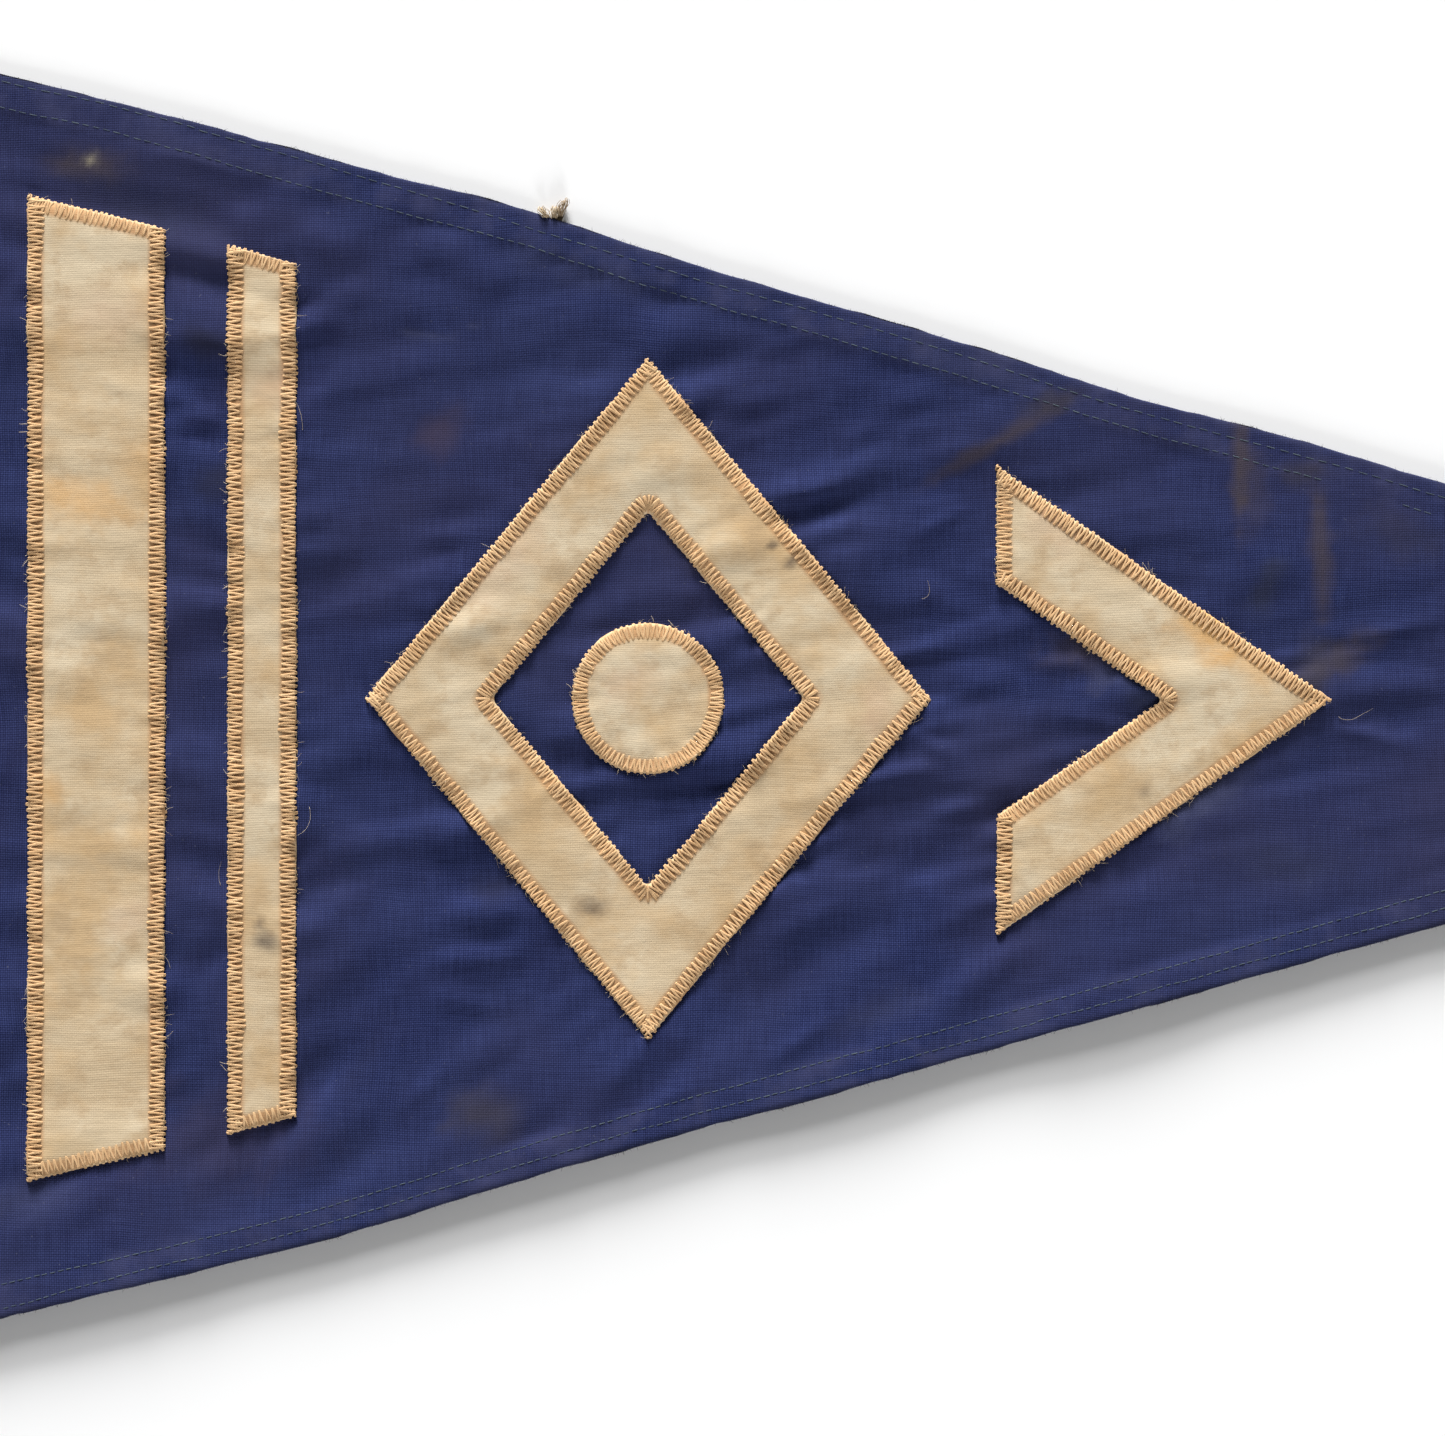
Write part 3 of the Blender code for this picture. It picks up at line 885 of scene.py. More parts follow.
def disc_grid():
    t = np.linspace(-1, 1, 37)
    a, b = np.meshgrid(t, t, indexing="ij")
    x = LOZENGE_CENTRE[0] + DISC_RADIUS * a * np.sqrt(1 - b * b / 2)
    y = LOZENGE_CENTRE[1] + DISC_RADIUS * b * np.sqrt(1 - a * a / 2)
    return np.stack([x, y], -1), False


def chevron_grid():
    outer, inner = chevron_corners()
    a = corner_softened(outer, PATCH_CORNER * 1.6, False, 84)
    b = corner_softened(inner, PATCH_CORNER, False, 84)
    b, a = end_rounded(b, a, PATCH_CORNER)
    return stroke_grid(b, a, 23), False


def patch_top(x, y):
    """The top of a sewn-on shape: it follows the field, crowned between its sewn edges."""
    away, run = near_border(x, y)
    held = 1 - smooth(away / 0.0075)
    crown = 0.00018 * smooth(away / 0.010)
    draws = 0.00008 * soft_noise(x, y, 0.026, 0.0080, 61)
    draws = draws + 0.00004 * soft_noise(x, y, 0.010, 0.0042, 62)
    jitter = soft_noise(run, away, 0.02, 0.5, 63)
    pucker = 0.00009 * np.sin(2 * math.pi * run / 0.0105 + 2.5 * jitter)
    rib = draws * (1 - 0.5 * held) + pucker * held
    lift = np.clip(crown + rib + 0.0002, 0, None)
    raw = 0.00018 * np.exp(-((away / 0.0007) ** 2))
    return blue_top(x, y) + PATCH_GAP + PATCH_CLOTH + lift - raw


def build_patch(name, made, material):
    grid, closed = made
    x = grid[..., 0]
    y = grid[..., 1]
    wobble = 0.00035
    edge = np.zeros_like(x)
    edge[:, 0] = 1
    edge[:, -1] = 1
    x = x + edge * wobble * soft_noise(x, y, 0.006, 0.006, 71)
    y = y + edge * wobble * soft_noise(x, y, 0.006, 0.006, 72)
    top = patch_top(x, y)
    bottom = np.minimum(top - PATCH_CLOTH * 0.8, blue_top(x, y) + PATCH_GAP)
    obj = slab(name + "_cloth", np.stack([x, y, top], -1), np.stack([x, y, bottom], -1), closed)
    away, _ = near_border(x, y)
    by_sewing = smooth(1 - away / 0.008)
    raw = 1 - smooth(away / 0.0007)
    # sewn carries a painted warm shade between the zigzag's strands: the cloth under the zigzag turns
    # a darker orange-brown
    sewn = smooth((ZIGZAG_IN + 0.0003 - away) / 0.0008) * smooth((away - 0.0004) / 0.0004)
    paint_sheet(obj, "stain", stain_colours(CREAM_STAINS, x, y, 81))
    paint_sheet(obj, "place", np.stack([by_sewing, raw, sewn, np.ones_like(x)], -1))
    obj.data.materials.append(material)
    return obj


class Threads:
    """Gathers round strands into one mesh, each with its own shade."""

    def __init__(self):
        self.verts = []
        self.faces = []
        self.shades = []
        self.count = 0

    def add(self, points, radius, sides=5, shade=0.5, taper=False, flat=1.0):
        """Sweeps a polygon along a line of points, with closed ends; flat squashes its height."""
        points = np.asarray(points, float)
        ahead = np.gradient(points, axis=0)
        ahead /= np.maximum(np.linalg.norm(ahead, axis=1, keepdims=True), 1e-9)
        across = np.cross(ahead, (0.0, 0.0, 1.0))
        across /= np.maximum(np.linalg.norm(across, axis=1, keepdims=True), 1e-9)
        up = np.cross(across, ahead)
        n = len(points)
        radii = np.broadcast_to(np.asarray(radius, float), (n,)).copy()
        if taper:
            radii = radii * np.linspace(1.0, 0.35, n)
        turn = 2 * math.pi * np.arange(sides) / sides
        ring = (
            points[:, None, :]
            + radii[:, None, None] * np.cos(turn)[None, :, None] * across[:, None, :]
            + radii[:, None, None] * flat * np.sin(turn)[None, :, None] * up[:, None, :]
        )
        self.verts.append(ring.reshape(-1, 3))
        self.shades.append(np.full(n * sides, shade))
        base = self.count
        for i in range(n - 1):
            for k in range(sides):
                a = base + i * sides + k
                b = base + i * sides + (k + 1) % sides
                self.faces.append((a, a + sides, b + sides, b))
        self.faces.append(tuple(base + k for k in range(sides)))
        self.faces.append(tuple(base + (n - 1) * sides + k for k in reversed(range(sides))))
        self.count += n * sides

    def build(self, name, material):
        obj = add_mesh(name, np.concatenate(self.verts), self.faces)
        shades = np.concatenate(self.shades)
        paint(obj, "shade", np.stack([shades, shades, shades, np.ones_like(shades)], -1))
        obj.data.materials.append(material)
        return obj


def normals_out(line, closed):
    """Unit directions to the right of a line, which is away from the cloth."""
    if closed:
        ahead = np.roll(line[:-1], -1, axis=0) - np.roll(line[:-1], 1, axis=0)
        ahead = np.concatenate([ahead, ahead[:1]])
    else:
        ahead = np.gradient(line, axis=0)
    ahead = ahead / np.linalg.norm(ahead, axis=1, keepdims=True)
    return np.stack([ahead[:, 1], -ahead[:, 0]], -1)


def sewing_path(line, closed):
    """A raw edge ready for sewing: its points, its directions out, its running length."""
    line = sampled(line, SEW_STEP)
    return line, normals_out(line, closed), outline_length(line)


def beside(path, s, off):
    """The x and y at a distance s along a sewing path and off to its outer side."""
    line, out, run = path
    x = np.interp(s, run, line[:, 0]) + np.interp(s, run, out[:, 0]) * off
    y = np.interp(s, run, line[:, 1]) + np.interp(s, run, out[:, 1]) * off
    return x, y


# Along one leg of the zigzag from its inner end: share of the row's width, share of half a step
# to the side, height over the cloth in thread radii
LEG = (
    (0.00, 0.96, -1.2),
    (0.06, 0.93, 0.4),
    (0.32, 0.74, 0.9),
    (0.64, 0.50, 0.9),
    (0.88, 0.30, 0.8),
    (0.98, 0.14, 0.5),
    (1.00, 0.02, -0.6),
)


def room_inside(loops, place, inward):
    """The share of the zigzag's reach that stays on the cloth from a place on its raw edge."""
    shares = np.linspace(1.0, 0.1, 10)
    x = place[0] + inward[0] * ZIGZAG_IN * shares
    y = place[1] + inward[1] * ZIGZAG_IN * shares
    inside = np.zeros(x.shape, bool)
    for loop in loops:
        inside ^= in_polygon(x, y, loop)
    return float(shares[inside][0]) if inside.any() else 0.06


def sew_leg(threads, x, y, off, lift, tone, rng):
    thick = THREAD * rng.uniform(0.82, 1.20)
    heights = np.array(LEG)[:, 2]
    z = patch_surface(x, y, off) + thick * THREAD_FLAT * heights + lift
    tone = float(np.clip(tone + rng.normal(0, 0.14), 0, 1))
    threads.add(np.stack([x, y, z], -1), thick, 6, tone, flat=THREAD_FLAT)


def zigzag_side(threads, line, closed, lift, rng, loops):
    """Sews one raw edge: paired legs that lean to and fro, looped over the edge."""
    path = sewing_path(line, closed)
    line, out, run = path
    at = 0.0
    drift_in = 0.0
    drift_out = 0.0
    leg_shape = np.array(LEG)
    while at < run[-1]:
        pitch = ZIGZAG_STEP * rng.uniform(0.80, 1.20)
        drift_in = 0.60 * drift_in + rng.normal(0, 0.00024)
        drift_out = 0.55 * drift_out + rng.normal(0, 0.00014)
        shade = rng.normal(0.5, 0.20)
        centre = at + pitch / 2
        for leg in (-1, 1):
            bow = rng.normal(0, 0.00016) * np.sin(math.pi * leg_shape[:, 0])
            s = np.clip(centre + leg * leg_shape[:, 1] * pitch / 2 + bow, 0.0, run[-1])
            foot = [np.interp(s[0], run, line[:, k]) for k in (0, 1)]
            inward = [-np.interp(s[0], run, out[:, k]) for k in (0, 1)]
            near_end = not closed and min(s[0], run[-1] - s[0]) < 2 * ZIGZAG_IN
            room = room_inside(loops, foot, inward) if near_end else 1.0
            reach = room * (ZIGZAG_IN + drift_in + rng.normal(0, 0.00010))
            off = -reach + (reach + ZIGZAG_OUT + drift_out) * leg_shape[:, 0]
            x, y = beside(path, s, off)
            sew_leg(threads, x, y, off, lift, shade, rng)
        at += pitch


def corner_fan(threads, corner, before, after, lift, rng):
    """Sews a corner that the cloth goes round: legs that spread from it like a fan."""
    first = math.atan2(-before[1], -before[0])
    turn = math.atan2(-after[1], -after[0]) - first
    turn = (turn + math.pi) % (2 * math.pi) - math.pi
    share = 1 - np.array(LEG)[:, 0]
    for k in np.arange(0.5, FAN_LEGS) / FAN_LEGS:
        way = first + turn * k + rng.normal(0, 0.05)
        lean = 0.10 * (1 if rng.uniform() < 0.5 else -1) * share
        off = -(ZIGZAG_IN + rng.normal(0, 0.00025)) * share + ZIGZAG_OUT * (1 - share)
        x = corner[0] - off * np.cos(way + lean)
        y = corner[1] - off * np.sin(way + lean)
        sew_leg(threads, x, y, off, lift, rng.normal(0.5, 0.2), rng)


def patch_surface(x, y, off):
    """The height under a stitch: the patch's top, or the field's top past the raw edge."""
    on = smooth((0.0003 - off) / 0.0005)
    low = SURFACES["field"](x, y)
    high = SURFACES["patch"](x, y)
    return low * (1 - on) + high * on


class Surface:
    def __init__(self, height, step=0.0011):
        self.x0 = HEADING_X
        self.y0 = -HOIST / 2
        self.step = step
        xs = np.arange(self.x0, TIP_X + step, step)
        ys = np.arange(self.y0, HOIST / 2 + step, step)
        grid = np.meshgrid(xs, ys, indexing="ij")
        self.z = height(*grid)

    def __call__(self, x, y):
        u = np.clip((x - self.x0) / self.step, 0, self.z.shape[0] - 1.001)
        v = np.clip((y - self.y0) / self.step, 0, self.z.shape[1] - 1.001)
        i = u.astype(int)
        j = v.astype(int)
        s = u - i
        t = v - j
        z = self.z
        return (
            z[i, j] * (1 - s) * (1 - t)
            + z[i + 1, j] * s * (1 - t)
            + z[i, j + 1] * (1 - s) * t
            + z[i + 1, j + 1] * s * t
        )


def build_zigzag(name, sides, material):
    rng = np.random.default_rng(sum(map(ord, name)))
    threads = Threads()
    loops = PATCH_LOOPS[name]
    for i, (line, closed) in enumerate(sides):
        zigzag_side(threads, line, closed, 0.00012 * (i % 2), rng, loops)
    for loop in loops:
        for i, corner in enumerate(loop):
            before = corner - loop[i - 1]
            after = loop[(i + 1) % len(loop)] - corner
            if before[0] * after[1] - before[1] * after[0] < 0:
                outs = [np.array([w[1], -w[0]]) / np.linalg.norm(w) for w in (before, after)]
                corner_fan(threads, corner, outs[0], outs[1], 0.00006, rng)
    return threads.build(name + "_zigzag", material)


def build_fray(material):
    """Loose ends of the cream yarn and thread that stand out past the raw edges."""
    rng = np.random.default_rng(301)
    threads = Threads()
    for sides in SIDES.values():
        for line, closed in sides:
            line, out, run = sewing_path(line, closed)
            fuzzy = soft_noise(run, run * 0, 0.018, 1.0, 302)
            for _ in range(int(run[-1] / 0.0011)):
                k = rng.integers(len(line))
                if rng.uniform() > 0.40 + 0.9 * fuzzy[k]:
                    continue
                length = rng.uniform(0.0005, 0.0014) + 0.0020 * rng.uniform() ** 5
                swing = rng.normal(0, 0.95)
                ahead = np.array([-out[k][1], out[k][0]])
                t = np.linspace(0, 1, 5)[:, None]
                way = out[k] * math.cos(swing) + ahead * math.sin(swing)
                curl = ahead * rng.normal(0, 0.0006)
                flat = line[k] + out[k] * 0.0003 + way * length * t + curl * t * t
                z = SURFACES["field"](flat[:, 0], flat[:, 1])
                z = z + 0.00025 + rng.uniform(0.0, 0.0005) * np.sin(math.pi * t[:, 0])
                points = np.column_stack([flat, z])
                radius = rng.uniform(0.00005, 0.00009)
                threads.add(points, radius, 3, rng.uniform(0.3, 1.0), taper=True)
    return threads.build("frayed_ends", material)


def stitch_line(threads, points, pitch, gap, rng, radius, surface, tone=(0.5, 0.18)):
    """Lock stitches along a line on a surface: each rises out of the cloth and dives again."""
    line = sampled(points, 0.0004)
    run = outline_length(line)
    share, arch, lean = np.array(STITCH).T
    at = rng.uniform(0, pitch)
    while at + pitch < run[-1]:
        length = pitch * (1 - gap) * rng.uniform(0.86, 1.10)
        s = at + length * share
        x, y = (np.interp(s, run, line[:, k]) for k in (0, 1))
        z = surface(x, y) + radius * arch
        side = rng.normal(0, 0.00007)
        y = y + side * lean
        shade = float(np.clip(rng.normal(*tone), 0, 1))
        threads.add(np.column_stack([x, y, z]), radius, 6, shade, flat=0.55)
        at += pitch * rng.uniform(0.94, 1.06)


def build_hem_rows(material):
    """The two rows along each hem, worn away in places."""
    rng = np.random.default_rng(401)
    threads = Threads()
    x = np.linspace(HEADING_X + 0.0006, TIP_X - 0.006, 1600)
    for side, column, pitch, gap, radius in HEM_STITCHES:
        line = np.stack([x, row_y(x, side, column)], -1)
        for start, end in WORN_SPANS if column == WORN_COLUMN else ((HEADING_X, TIP_X),):
            part = line[(x >= start) & (x <= end)]
            stitch_line(threads, part, pitch, gap, rng, radius, SURFACES["field"])
    return threads.build("hem_stitches", material)


def build_back_zigzag(material):
    """The same zigzag as it shows on the back, a flatter line of thread."""
    rng = np.random.default_rng(501)
    threads = Threads()
    for sides in SIDES.values():
        for line, closed in sides:
            path = sewing_path(line, closed)
            s = np.arange(ZIGZAG_STEP / 4, path[2][-1], ZIGZAG_STEP / 2)
            off = np.where(np.arange(len(s)) % 2 == 0, -ZIGZAG_IN, ZIGZAG_OUT)
            off = off + rng.normal(0, 0.00016, len(s))
            x, y = beside(path, s, off)
            z = SURFACES["field"](x, y) - BUNTING - BACK_THREAD * 1.4
            z = np.maximum(z, BACK_THREAD)
            threads.add(np.stack([x, y, z], -1), BACK_THREAD, 4, 0.5)
    return threads.build("back_zigzag", material)


def build_strays(material):
    """A few long loose fibres that lie on the cloth."""
    rng = np.random.default_rng(601)
    threads = Threads()
    for x, y, degrees, length, bend in STRAYS:
        t = np.linspace(0, 1, 14)
        turn = math.radians(degrees) + np.cumsum(rng.normal(0, 0.10, 14)) + math.radians(bend) * t
        step = length * MM / 13
        px = x * MM + np.cumsum(np.cos(turn)) * step
        py = y * MM + np.cumsum(np.sin(turn)) * step
        z = patch_surface(px, py, signed_off(px, py)) + 0.00022 + 0.0004 * np.sin(math.pi * t) ** 2
        threads.add(np.stack([px, py, z], -1), 0.00006, 3, 0.9, taper=True)
    return threads.build("stray_fibres", material)


def signed_off(x, y):
    """How far each point lies outside the nearest sewn shape, below 0 within it."""
    away, _ = near_border(x, y)
    return np.where(inside_patches(x, y) > 0, -away, away)


def build_tuft(material):
    """A short end of brown twine behind the upper hem, its two plies parted and frayed."""
    rng = np.random.default_rng(701)
    threads = Threads()
    root = np.array([TUFT_X, float(edge_y(TUFT_X, 1)) - 0.003])
    for start, lean, length, fat, light in TUFT_LOBES:
        for k in range(TUFT_STRANDS):
            t = np.linspace(0, 1, 14)
            out = smooth((t - 0.28) / 0.30)
            twist = 2.4 * k + 3.0 * t
            spread = math.sqrt((k + 0.5) / TUFT_STRANDS)
            wide = fat * (0.70 + 0.30 * out + 0.30 * smooth((t - 0.60) / 0.20)) * spread
            wide = wide * (1 - 0.55 * smooth((t - 0.86) / 0.14))
            turn = math.pi / 2 - lean * (0.5 + 0.9 * t) + rng.normal(0, 0.06)
            along = length * rng.uniform(0.90, 1.04) / 14
            px = root[0] + start + np.cumsum(np.cos(turn)) * along + wide * np.cos(twist)
            py = root[1] + np.cumsum(np.sin(turn)) * along
            z = 0.0003 + out * (0.0014 + wide * np.sin(twist))
            shade = float(np.clip(rng.normal(light, 0.22), 0, 1))
            points = np.stack([px, py, z], -1)
            threads.add(points, rng.uniform(0.00014, 0.00024), 4, shade, taper=True)
    return threads.build("twine_end", material)


def build_rim_fuzz(material):
    """Short worn fibres that stand out of the folded edges."""
    rng = np.random.default_rng(751)
    threads = Threads()
    for side in (-1, 1):
        count = int((TIP_X - HEADING_X) / 0.00045)
        for x in rng.uniform(HEADING_X + 0.001, TIP_X - 0.004, count):
            edge = float(edge_y(x, side) + side * edge_wobble(np.array([x]), side)[0])
            length = rng.uniform(0.0003, 0.0008) + 0.0010 * rng.uniform() ** 6
            turn = side * math.pi / 2 + rng.normal(0, 0.9)
            t = np.linspace(0, 1, 4)
            bend = rng.normal(0, 0.0003)
            px = x + math.cos(turn) * length * t + bend * t * t
            py = edge - side * 0.00035 + math.sin(turn) * length * t
            top = float(SURFACES["field"](np.array([x]), np.array([edge - side * 0.001]))[0])
            z = top - 0.0003 + rng.uniform(-0.0002, 0.0002) * t
            points = np.stack([px, py, z], -1)
            threads.add(points, rng.uniform(0.00005, 0.00009), 3, rng.uniform(0, 1), taper=True)
    return threads.build("rim_fuzz", material)


def heading_dent(x, y):
    """1 under an eyelet's flange, easing to 0 round it."""
    press = np.zeros(np.broadcast(x, y).shape)
    for place in EYELET_PLACES.values():
        away = np.hypot(x - place[0], y - place[1])
        press = np.maximum(press, 1 - smooth((away - EYELET_FLANGE - 0.0002) / 0.0020))
    return press


def heading_top(x, y):
    swell = 0.00008 * soft_noise(x, y, 0.012, 0.018, 91)
    swell = swell + 0.00006 * soft_noise(x, y, 0.004, 0.005, 92)
    seams = np.zeros(np.broadcast(x, y).shape)
    for inset in HEADING_SEAMS:
        seams += np.exp(-(((x - HEADING_X + inset) / 0.0009) ** 2))
    return HEADING_THICK - 0.00010 + swell - 0.00062 * heading_dent(x, y) - 0.00025 * seams


def arc(centre, radius, first, last, count):
    """Points on a circle in a section, from one angle to another in degrees."""
    turns = np.radians(np.linspace(first, last, count))
    return [(centre[0] + radius * math.cos(t), centre[1] + radius * math.sin(t)) for t in turns]


def level(start, end, height, count):
    """Points at one height of a section, from one x to another."""
    return [(x, height) for x in np.linspace(start, end, count)]


def heading_section():
    """The strip's closed outline as (x, z, part), part 0 outside, 1 and 2 for the slot's sides."""
    half = HEADING_THICK / 2
    leg = HEADING_LEG / 2
    fold_x = HOIST_X + half
    slot_x = HEADING_X - SLOT_DEPTH
    lip_x = HEADING_X - leg
    stretches = (
        (arc((fold_x, half), half, 90, 270, 17), 0),
        (level(fold_x, lip_x, 0.0, 30)[1:-1], 0),
        (arc((lip_x, leg), leg, -90, 90, 7), 0),
        (level(lip_x, slot_x, HEADING_LEG, 10)[1:], 1),
        (level(slot_x, lip_x, HEADING_THICK - HEADING_LEG, 10)[:-1], 2),
        (arc((lip_x, HEADING_THICK - leg), leg, -90, 90, 7), 0),
        (level(lip_x, fold_x, HEADING_THICK, 36)[1:-1], 0),
    )
    return np.array([(x, z, part) for points, part in stretches for x, z in points])


def tube_faces(rings, around, closed):
    """The faces between rings of points; closed joins the last ring to the first."""
    faces = []
    for i in range(rings if closed else rings - 1):
        here = i * around
        there = (i + 1) % rings * around
        for j in range(around):
            k = (j + 1) % around
            faces.append((here + j, there + j, there + k, here + k))
    return faces


def build_heading(material):
    section = heading_section()
    ys = np.linspace(-HOIST / 2, HOIST / 2, 340)
    x = np.repeat(section[None, :, 0], len(ys), axis=0)
    z = np.repeat(section[None, :, 1], len(ys), axis=0)
    part = np.repeat(section[None, :, 2], len(ys), axis=0)
    y = np.repeat(ys[:, None], section.shape[0], axis=1)
    middle = HEADING_THICK / 2
    dent = heading_dent(x, y)
    outer = part == 0
    upper = np.clip((z - middle) / middle, 0, 1)
    lower = np.clip((middle - z) / middle, 0, 1)
    ends = np.exp(-(HOIST / 2 - np.abs(y)) / 0.0006)
    shift = upper * (heading_top(x, y) - HEADING_THICK - 0.0004 * ends)
    shift = shift + lower * (0.00115 * dent + 0.0003 * ends)
    slot_low = np.where(part == 1, 0.0004 * dent, 0.0)
    z = np.where(outer, z + shift, z + slot_low)
    fold_sway = 0.00012 * soft_noise(y, z, 0.020, 1.0, 93) + 0.00012
    x = x + np.where(outer & (x < HOIST_X + middle), fold_sway, 0)
    n, m = x.shape
    verts = np.stack([x, y, z], -1).reshape(-1, 3)
    faces = tube_faces(n, m, False)
    faces.append(tuple(range(m)))
    faces.append(tuple((n - 1) * m + j for j in reversed(range(m))))
    obj = add_mesh("heading_cloth", verts, faces)
    obj.data.materials.append(material)
    hole = EYELET_BARREL + 0.0001
    for px, py in EYELET_PLACES.values():
        place = (px, py, 0)
        bpy.ops.mesh.primitive_cylinder_add(vertices=64, radius=hole, depth=0.02, location=place)
        cutter = bpy.context.object
        cut = obj.modifiers.new("hole", "BOOLEAN")
        cut.operation = "DIFFERENCE"
        cut.solver = "EXACT"
        cut.object = cutter
        bpy.context.view_layer.objects.active = obj
        bpy.ops.object.modifier_apply(modifier=cut.name)
        bpy.data.objects.remove(cutter)
    return obj


def build_heading_seams(material):
    rng = np.random.default_rng(801)
    threads = Threads()
    ends = HOIST / 2 - 0.0025
    rows = [((HEADING_X - inset, -ends), (HEADING_X - inset, ends)) for inset in HEADING_SEAMS]
    rows += [((HOIST_X + 0.0035, side * ends), (HEADING_X - 0.0030, side * ends)) for side in (-1, 1)]
    for row in rows:
        stitch_line(threads, row, 0.0031, 0.22, rng, 0.00024, heading_top)
    return threads.build("heading_seams", material)


def eyelet_section():
    """Half the section of the pressed ring in (radius, z), all round it."""
    top = HEADING_THICK + 0.0006
    rim = EYELET_FLANGE
    hole = EYELET_HOLE
    roll = 0.00045
    low_roll = 0.0004
    points = arc((rim - roll, top - 0.0009 + roll), roll, -90, 90, 7)
    points += [(r * MM, top - fall * MM) for r, fall in EYELET_FACE]
    points += [(hole, 0.0028), (hole, 0.0018), (hole, 0.0010)]
    points += [(r * MM, rise * MM) for r, rise in EYELET_BACK]
    points += arc((rim - low_roll, 0.00042), low_roll, -90, 90, 6)
    points += [(EYELET_BARREL, 0.0009), (EYELET_BARREL, 0.0018), (EYELET_BARREL, top - 0.0009)]
    return np.array(points)


def build_eyelet(name, place, material):
    section = eyelet_section()
    steps = 96
    turn = 2 * math.pi * np.arange(steps) / steps
    m = len(section)
    r = section[None, :, 0]
    x = place[0] + r * np.cos(turn)[:, None]
    y = place[1] + r * np.sin(turn)[:, None]
    z = np.repeat(section[None, :, 1], steps, axis=0)
    crimp = 0.00004 * soft_noise(x, y, 0.0022, 0.0022, 95)
    z = np.clip(z + crimp, 0, HEADING_THICK + 0.0006)
    faces = [face[::-1] for face in tube_faces(steps, m, True)]
    obj = add_mesh(name + "_brass", np.stack([x, y, z], -1).reshape(-1, 3), faces)
    obj.data.materials.append(material)
    return obj


def noise_node(tree, coords, scale, detail=2.0, rough=0.5, stretch=None):
    """A noise texture on the given coordinates, which may be stretched along each axis."""
    if stretch is not None:
        mapping = tree.nodes.new("ShaderNodeMapping")
        mapping.inputs["Scale"].default_value = stretch
        tree.links.new(coords, mapping.inputs["Vector"])
        coords = mapping.outputs["Vector"]
    noise = tree.nodes.new("ShaderNodeTexNoise")
    noise.inputs["Scale"].default_value = scale
    noise.inputs["Detail"].default_value = detail
    noise.inputs["Roughness"].default_value = rough
    tree.links.new(coords, noise.inputs["Vector"])
    return noise.outputs["Fac"]


def maths(tree, kind, *values):
    """A sum or product of sockets and numbers."""
    node = tree.nodes.new("ShaderNodeMath")
    node.operation = kind
    for socket, value in zip(node.inputs, values):
        if isinstance(value, (int, float)):
            socket.default_value = value
        else:
            tree.links.new(value, socket)
    return node.outputs["Value"]


def ranged(tree, value, low, high, to_low=0.0, to_high=1.0):
    node = tree.nodes.new("ShaderNodeMapRange")
    ends = {"From Min": low, "From Max": high, "To Min": to_low, "To Max": to_high}
    for name, number in ends.items():
        node.inputs[name].default_value = number
    tree.links.new(value, node.inputs["Value"])
    return node.outputs["Result"]


def mixed(tree, factor, a, b, kind="MIX"):
    """Two colours mixed; each is a socket or an (r, g, b)."""
    node = tree.nodes.new("ShaderNodeMix")
    node.data_type = "RGBA"
    node.blend_type = kind
    if isinstance(factor, (int, float)):
        node.inputs["Factor"].default_value = factor
    else:
        tree.links.new(factor, node.inputs["Factor"])
    for name, value in (("A", a), ("B", b)):
        socket = [s for s in node.inputs if s.name == name and s.type == "RGBA"][0]
        if isinstance(value, tuple):
            socket.default_value = (*value, 1.0)
        else:
            tree.links.new(value, socket)
    return [s for s in node.outputs if s.type == "RGBA"][0]


def attribute(tree, name):
    node = tree.nodes.new("ShaderNodeAttribute")
    node.attribute_name = name
    return node


def split(tree, vector):
    node = tree.nodes.new("ShaderNodeSeparateXYZ")
    tree.links.new(vector, node.inputs["Vector"])
    return node.outputs


def new_material(name, roughness):
    made = bpy.data.materials.new(name)
    made.use_nodes = True
    tree = made.node_tree
    shader = tree.nodes["Principled BSDF"]
    shader.inputs["Roughness"].default_value = roughness
    shader.inputs["Specular IOR Level"].default_value = 0.25
    coords = tree.nodes.new("ShaderNodeTexCoord").outputs["Object"]
    return made, tree, shader, coords


def weave(tree, coords, pitch, weft=1.0, warp=1.0):
    """A plain weave's relief from 0 in its gaps to 1 on its crowns, and warped coordinates."""
    sway = tree.nodes.new("ShaderNodeTexNoise")
    sway.inputs["Scale"].default_value = 26.0
    sway.inputs["Detail"].default_value = 1.0
    tree.links.new(coords, sway.inputs["Vector"])
    shift = tree.nodes.new("ShaderNodeVectorMath")
    shift.operation = "MULTIPLY_ADD"
    tree.links.new(sway.outputs["Color"], shift.inputs[0])
    shift.inputs[1].default_value = (0.004, 0.004, 0.0)
    tree.links.new(coords, shift.inputs[2])
    x, y, _ = split(tree, shift.outputs["Vector"])
    wave_x = maths(tree, "SINE", maths(tree, "MULTIPLY", x, math.pi / pitch))
    wave_y = maths(tree, "SINE", maths(tree, "MULTIPLY", y, math.pi / pitch))
    crown_x = maths(tree, "MULTIPLY", maths(tree, "ABSOLUTE", wave_x), 0.5 * warp)
    crown_y = maths(tree, "MULTIPLY", maths(tree, "ABSOLUTE", wave_y), 0.5 * weft)
    cross = maths(tree, "MULTIPLY", maths(tree, "MULTIPLY", wave_x, wave_y), 0.09)
    relief = maths(tree, "ADD", maths(tree, "ADD", crown_x, crown_y), cross)
    return relief, shift.outputs["Vector"]


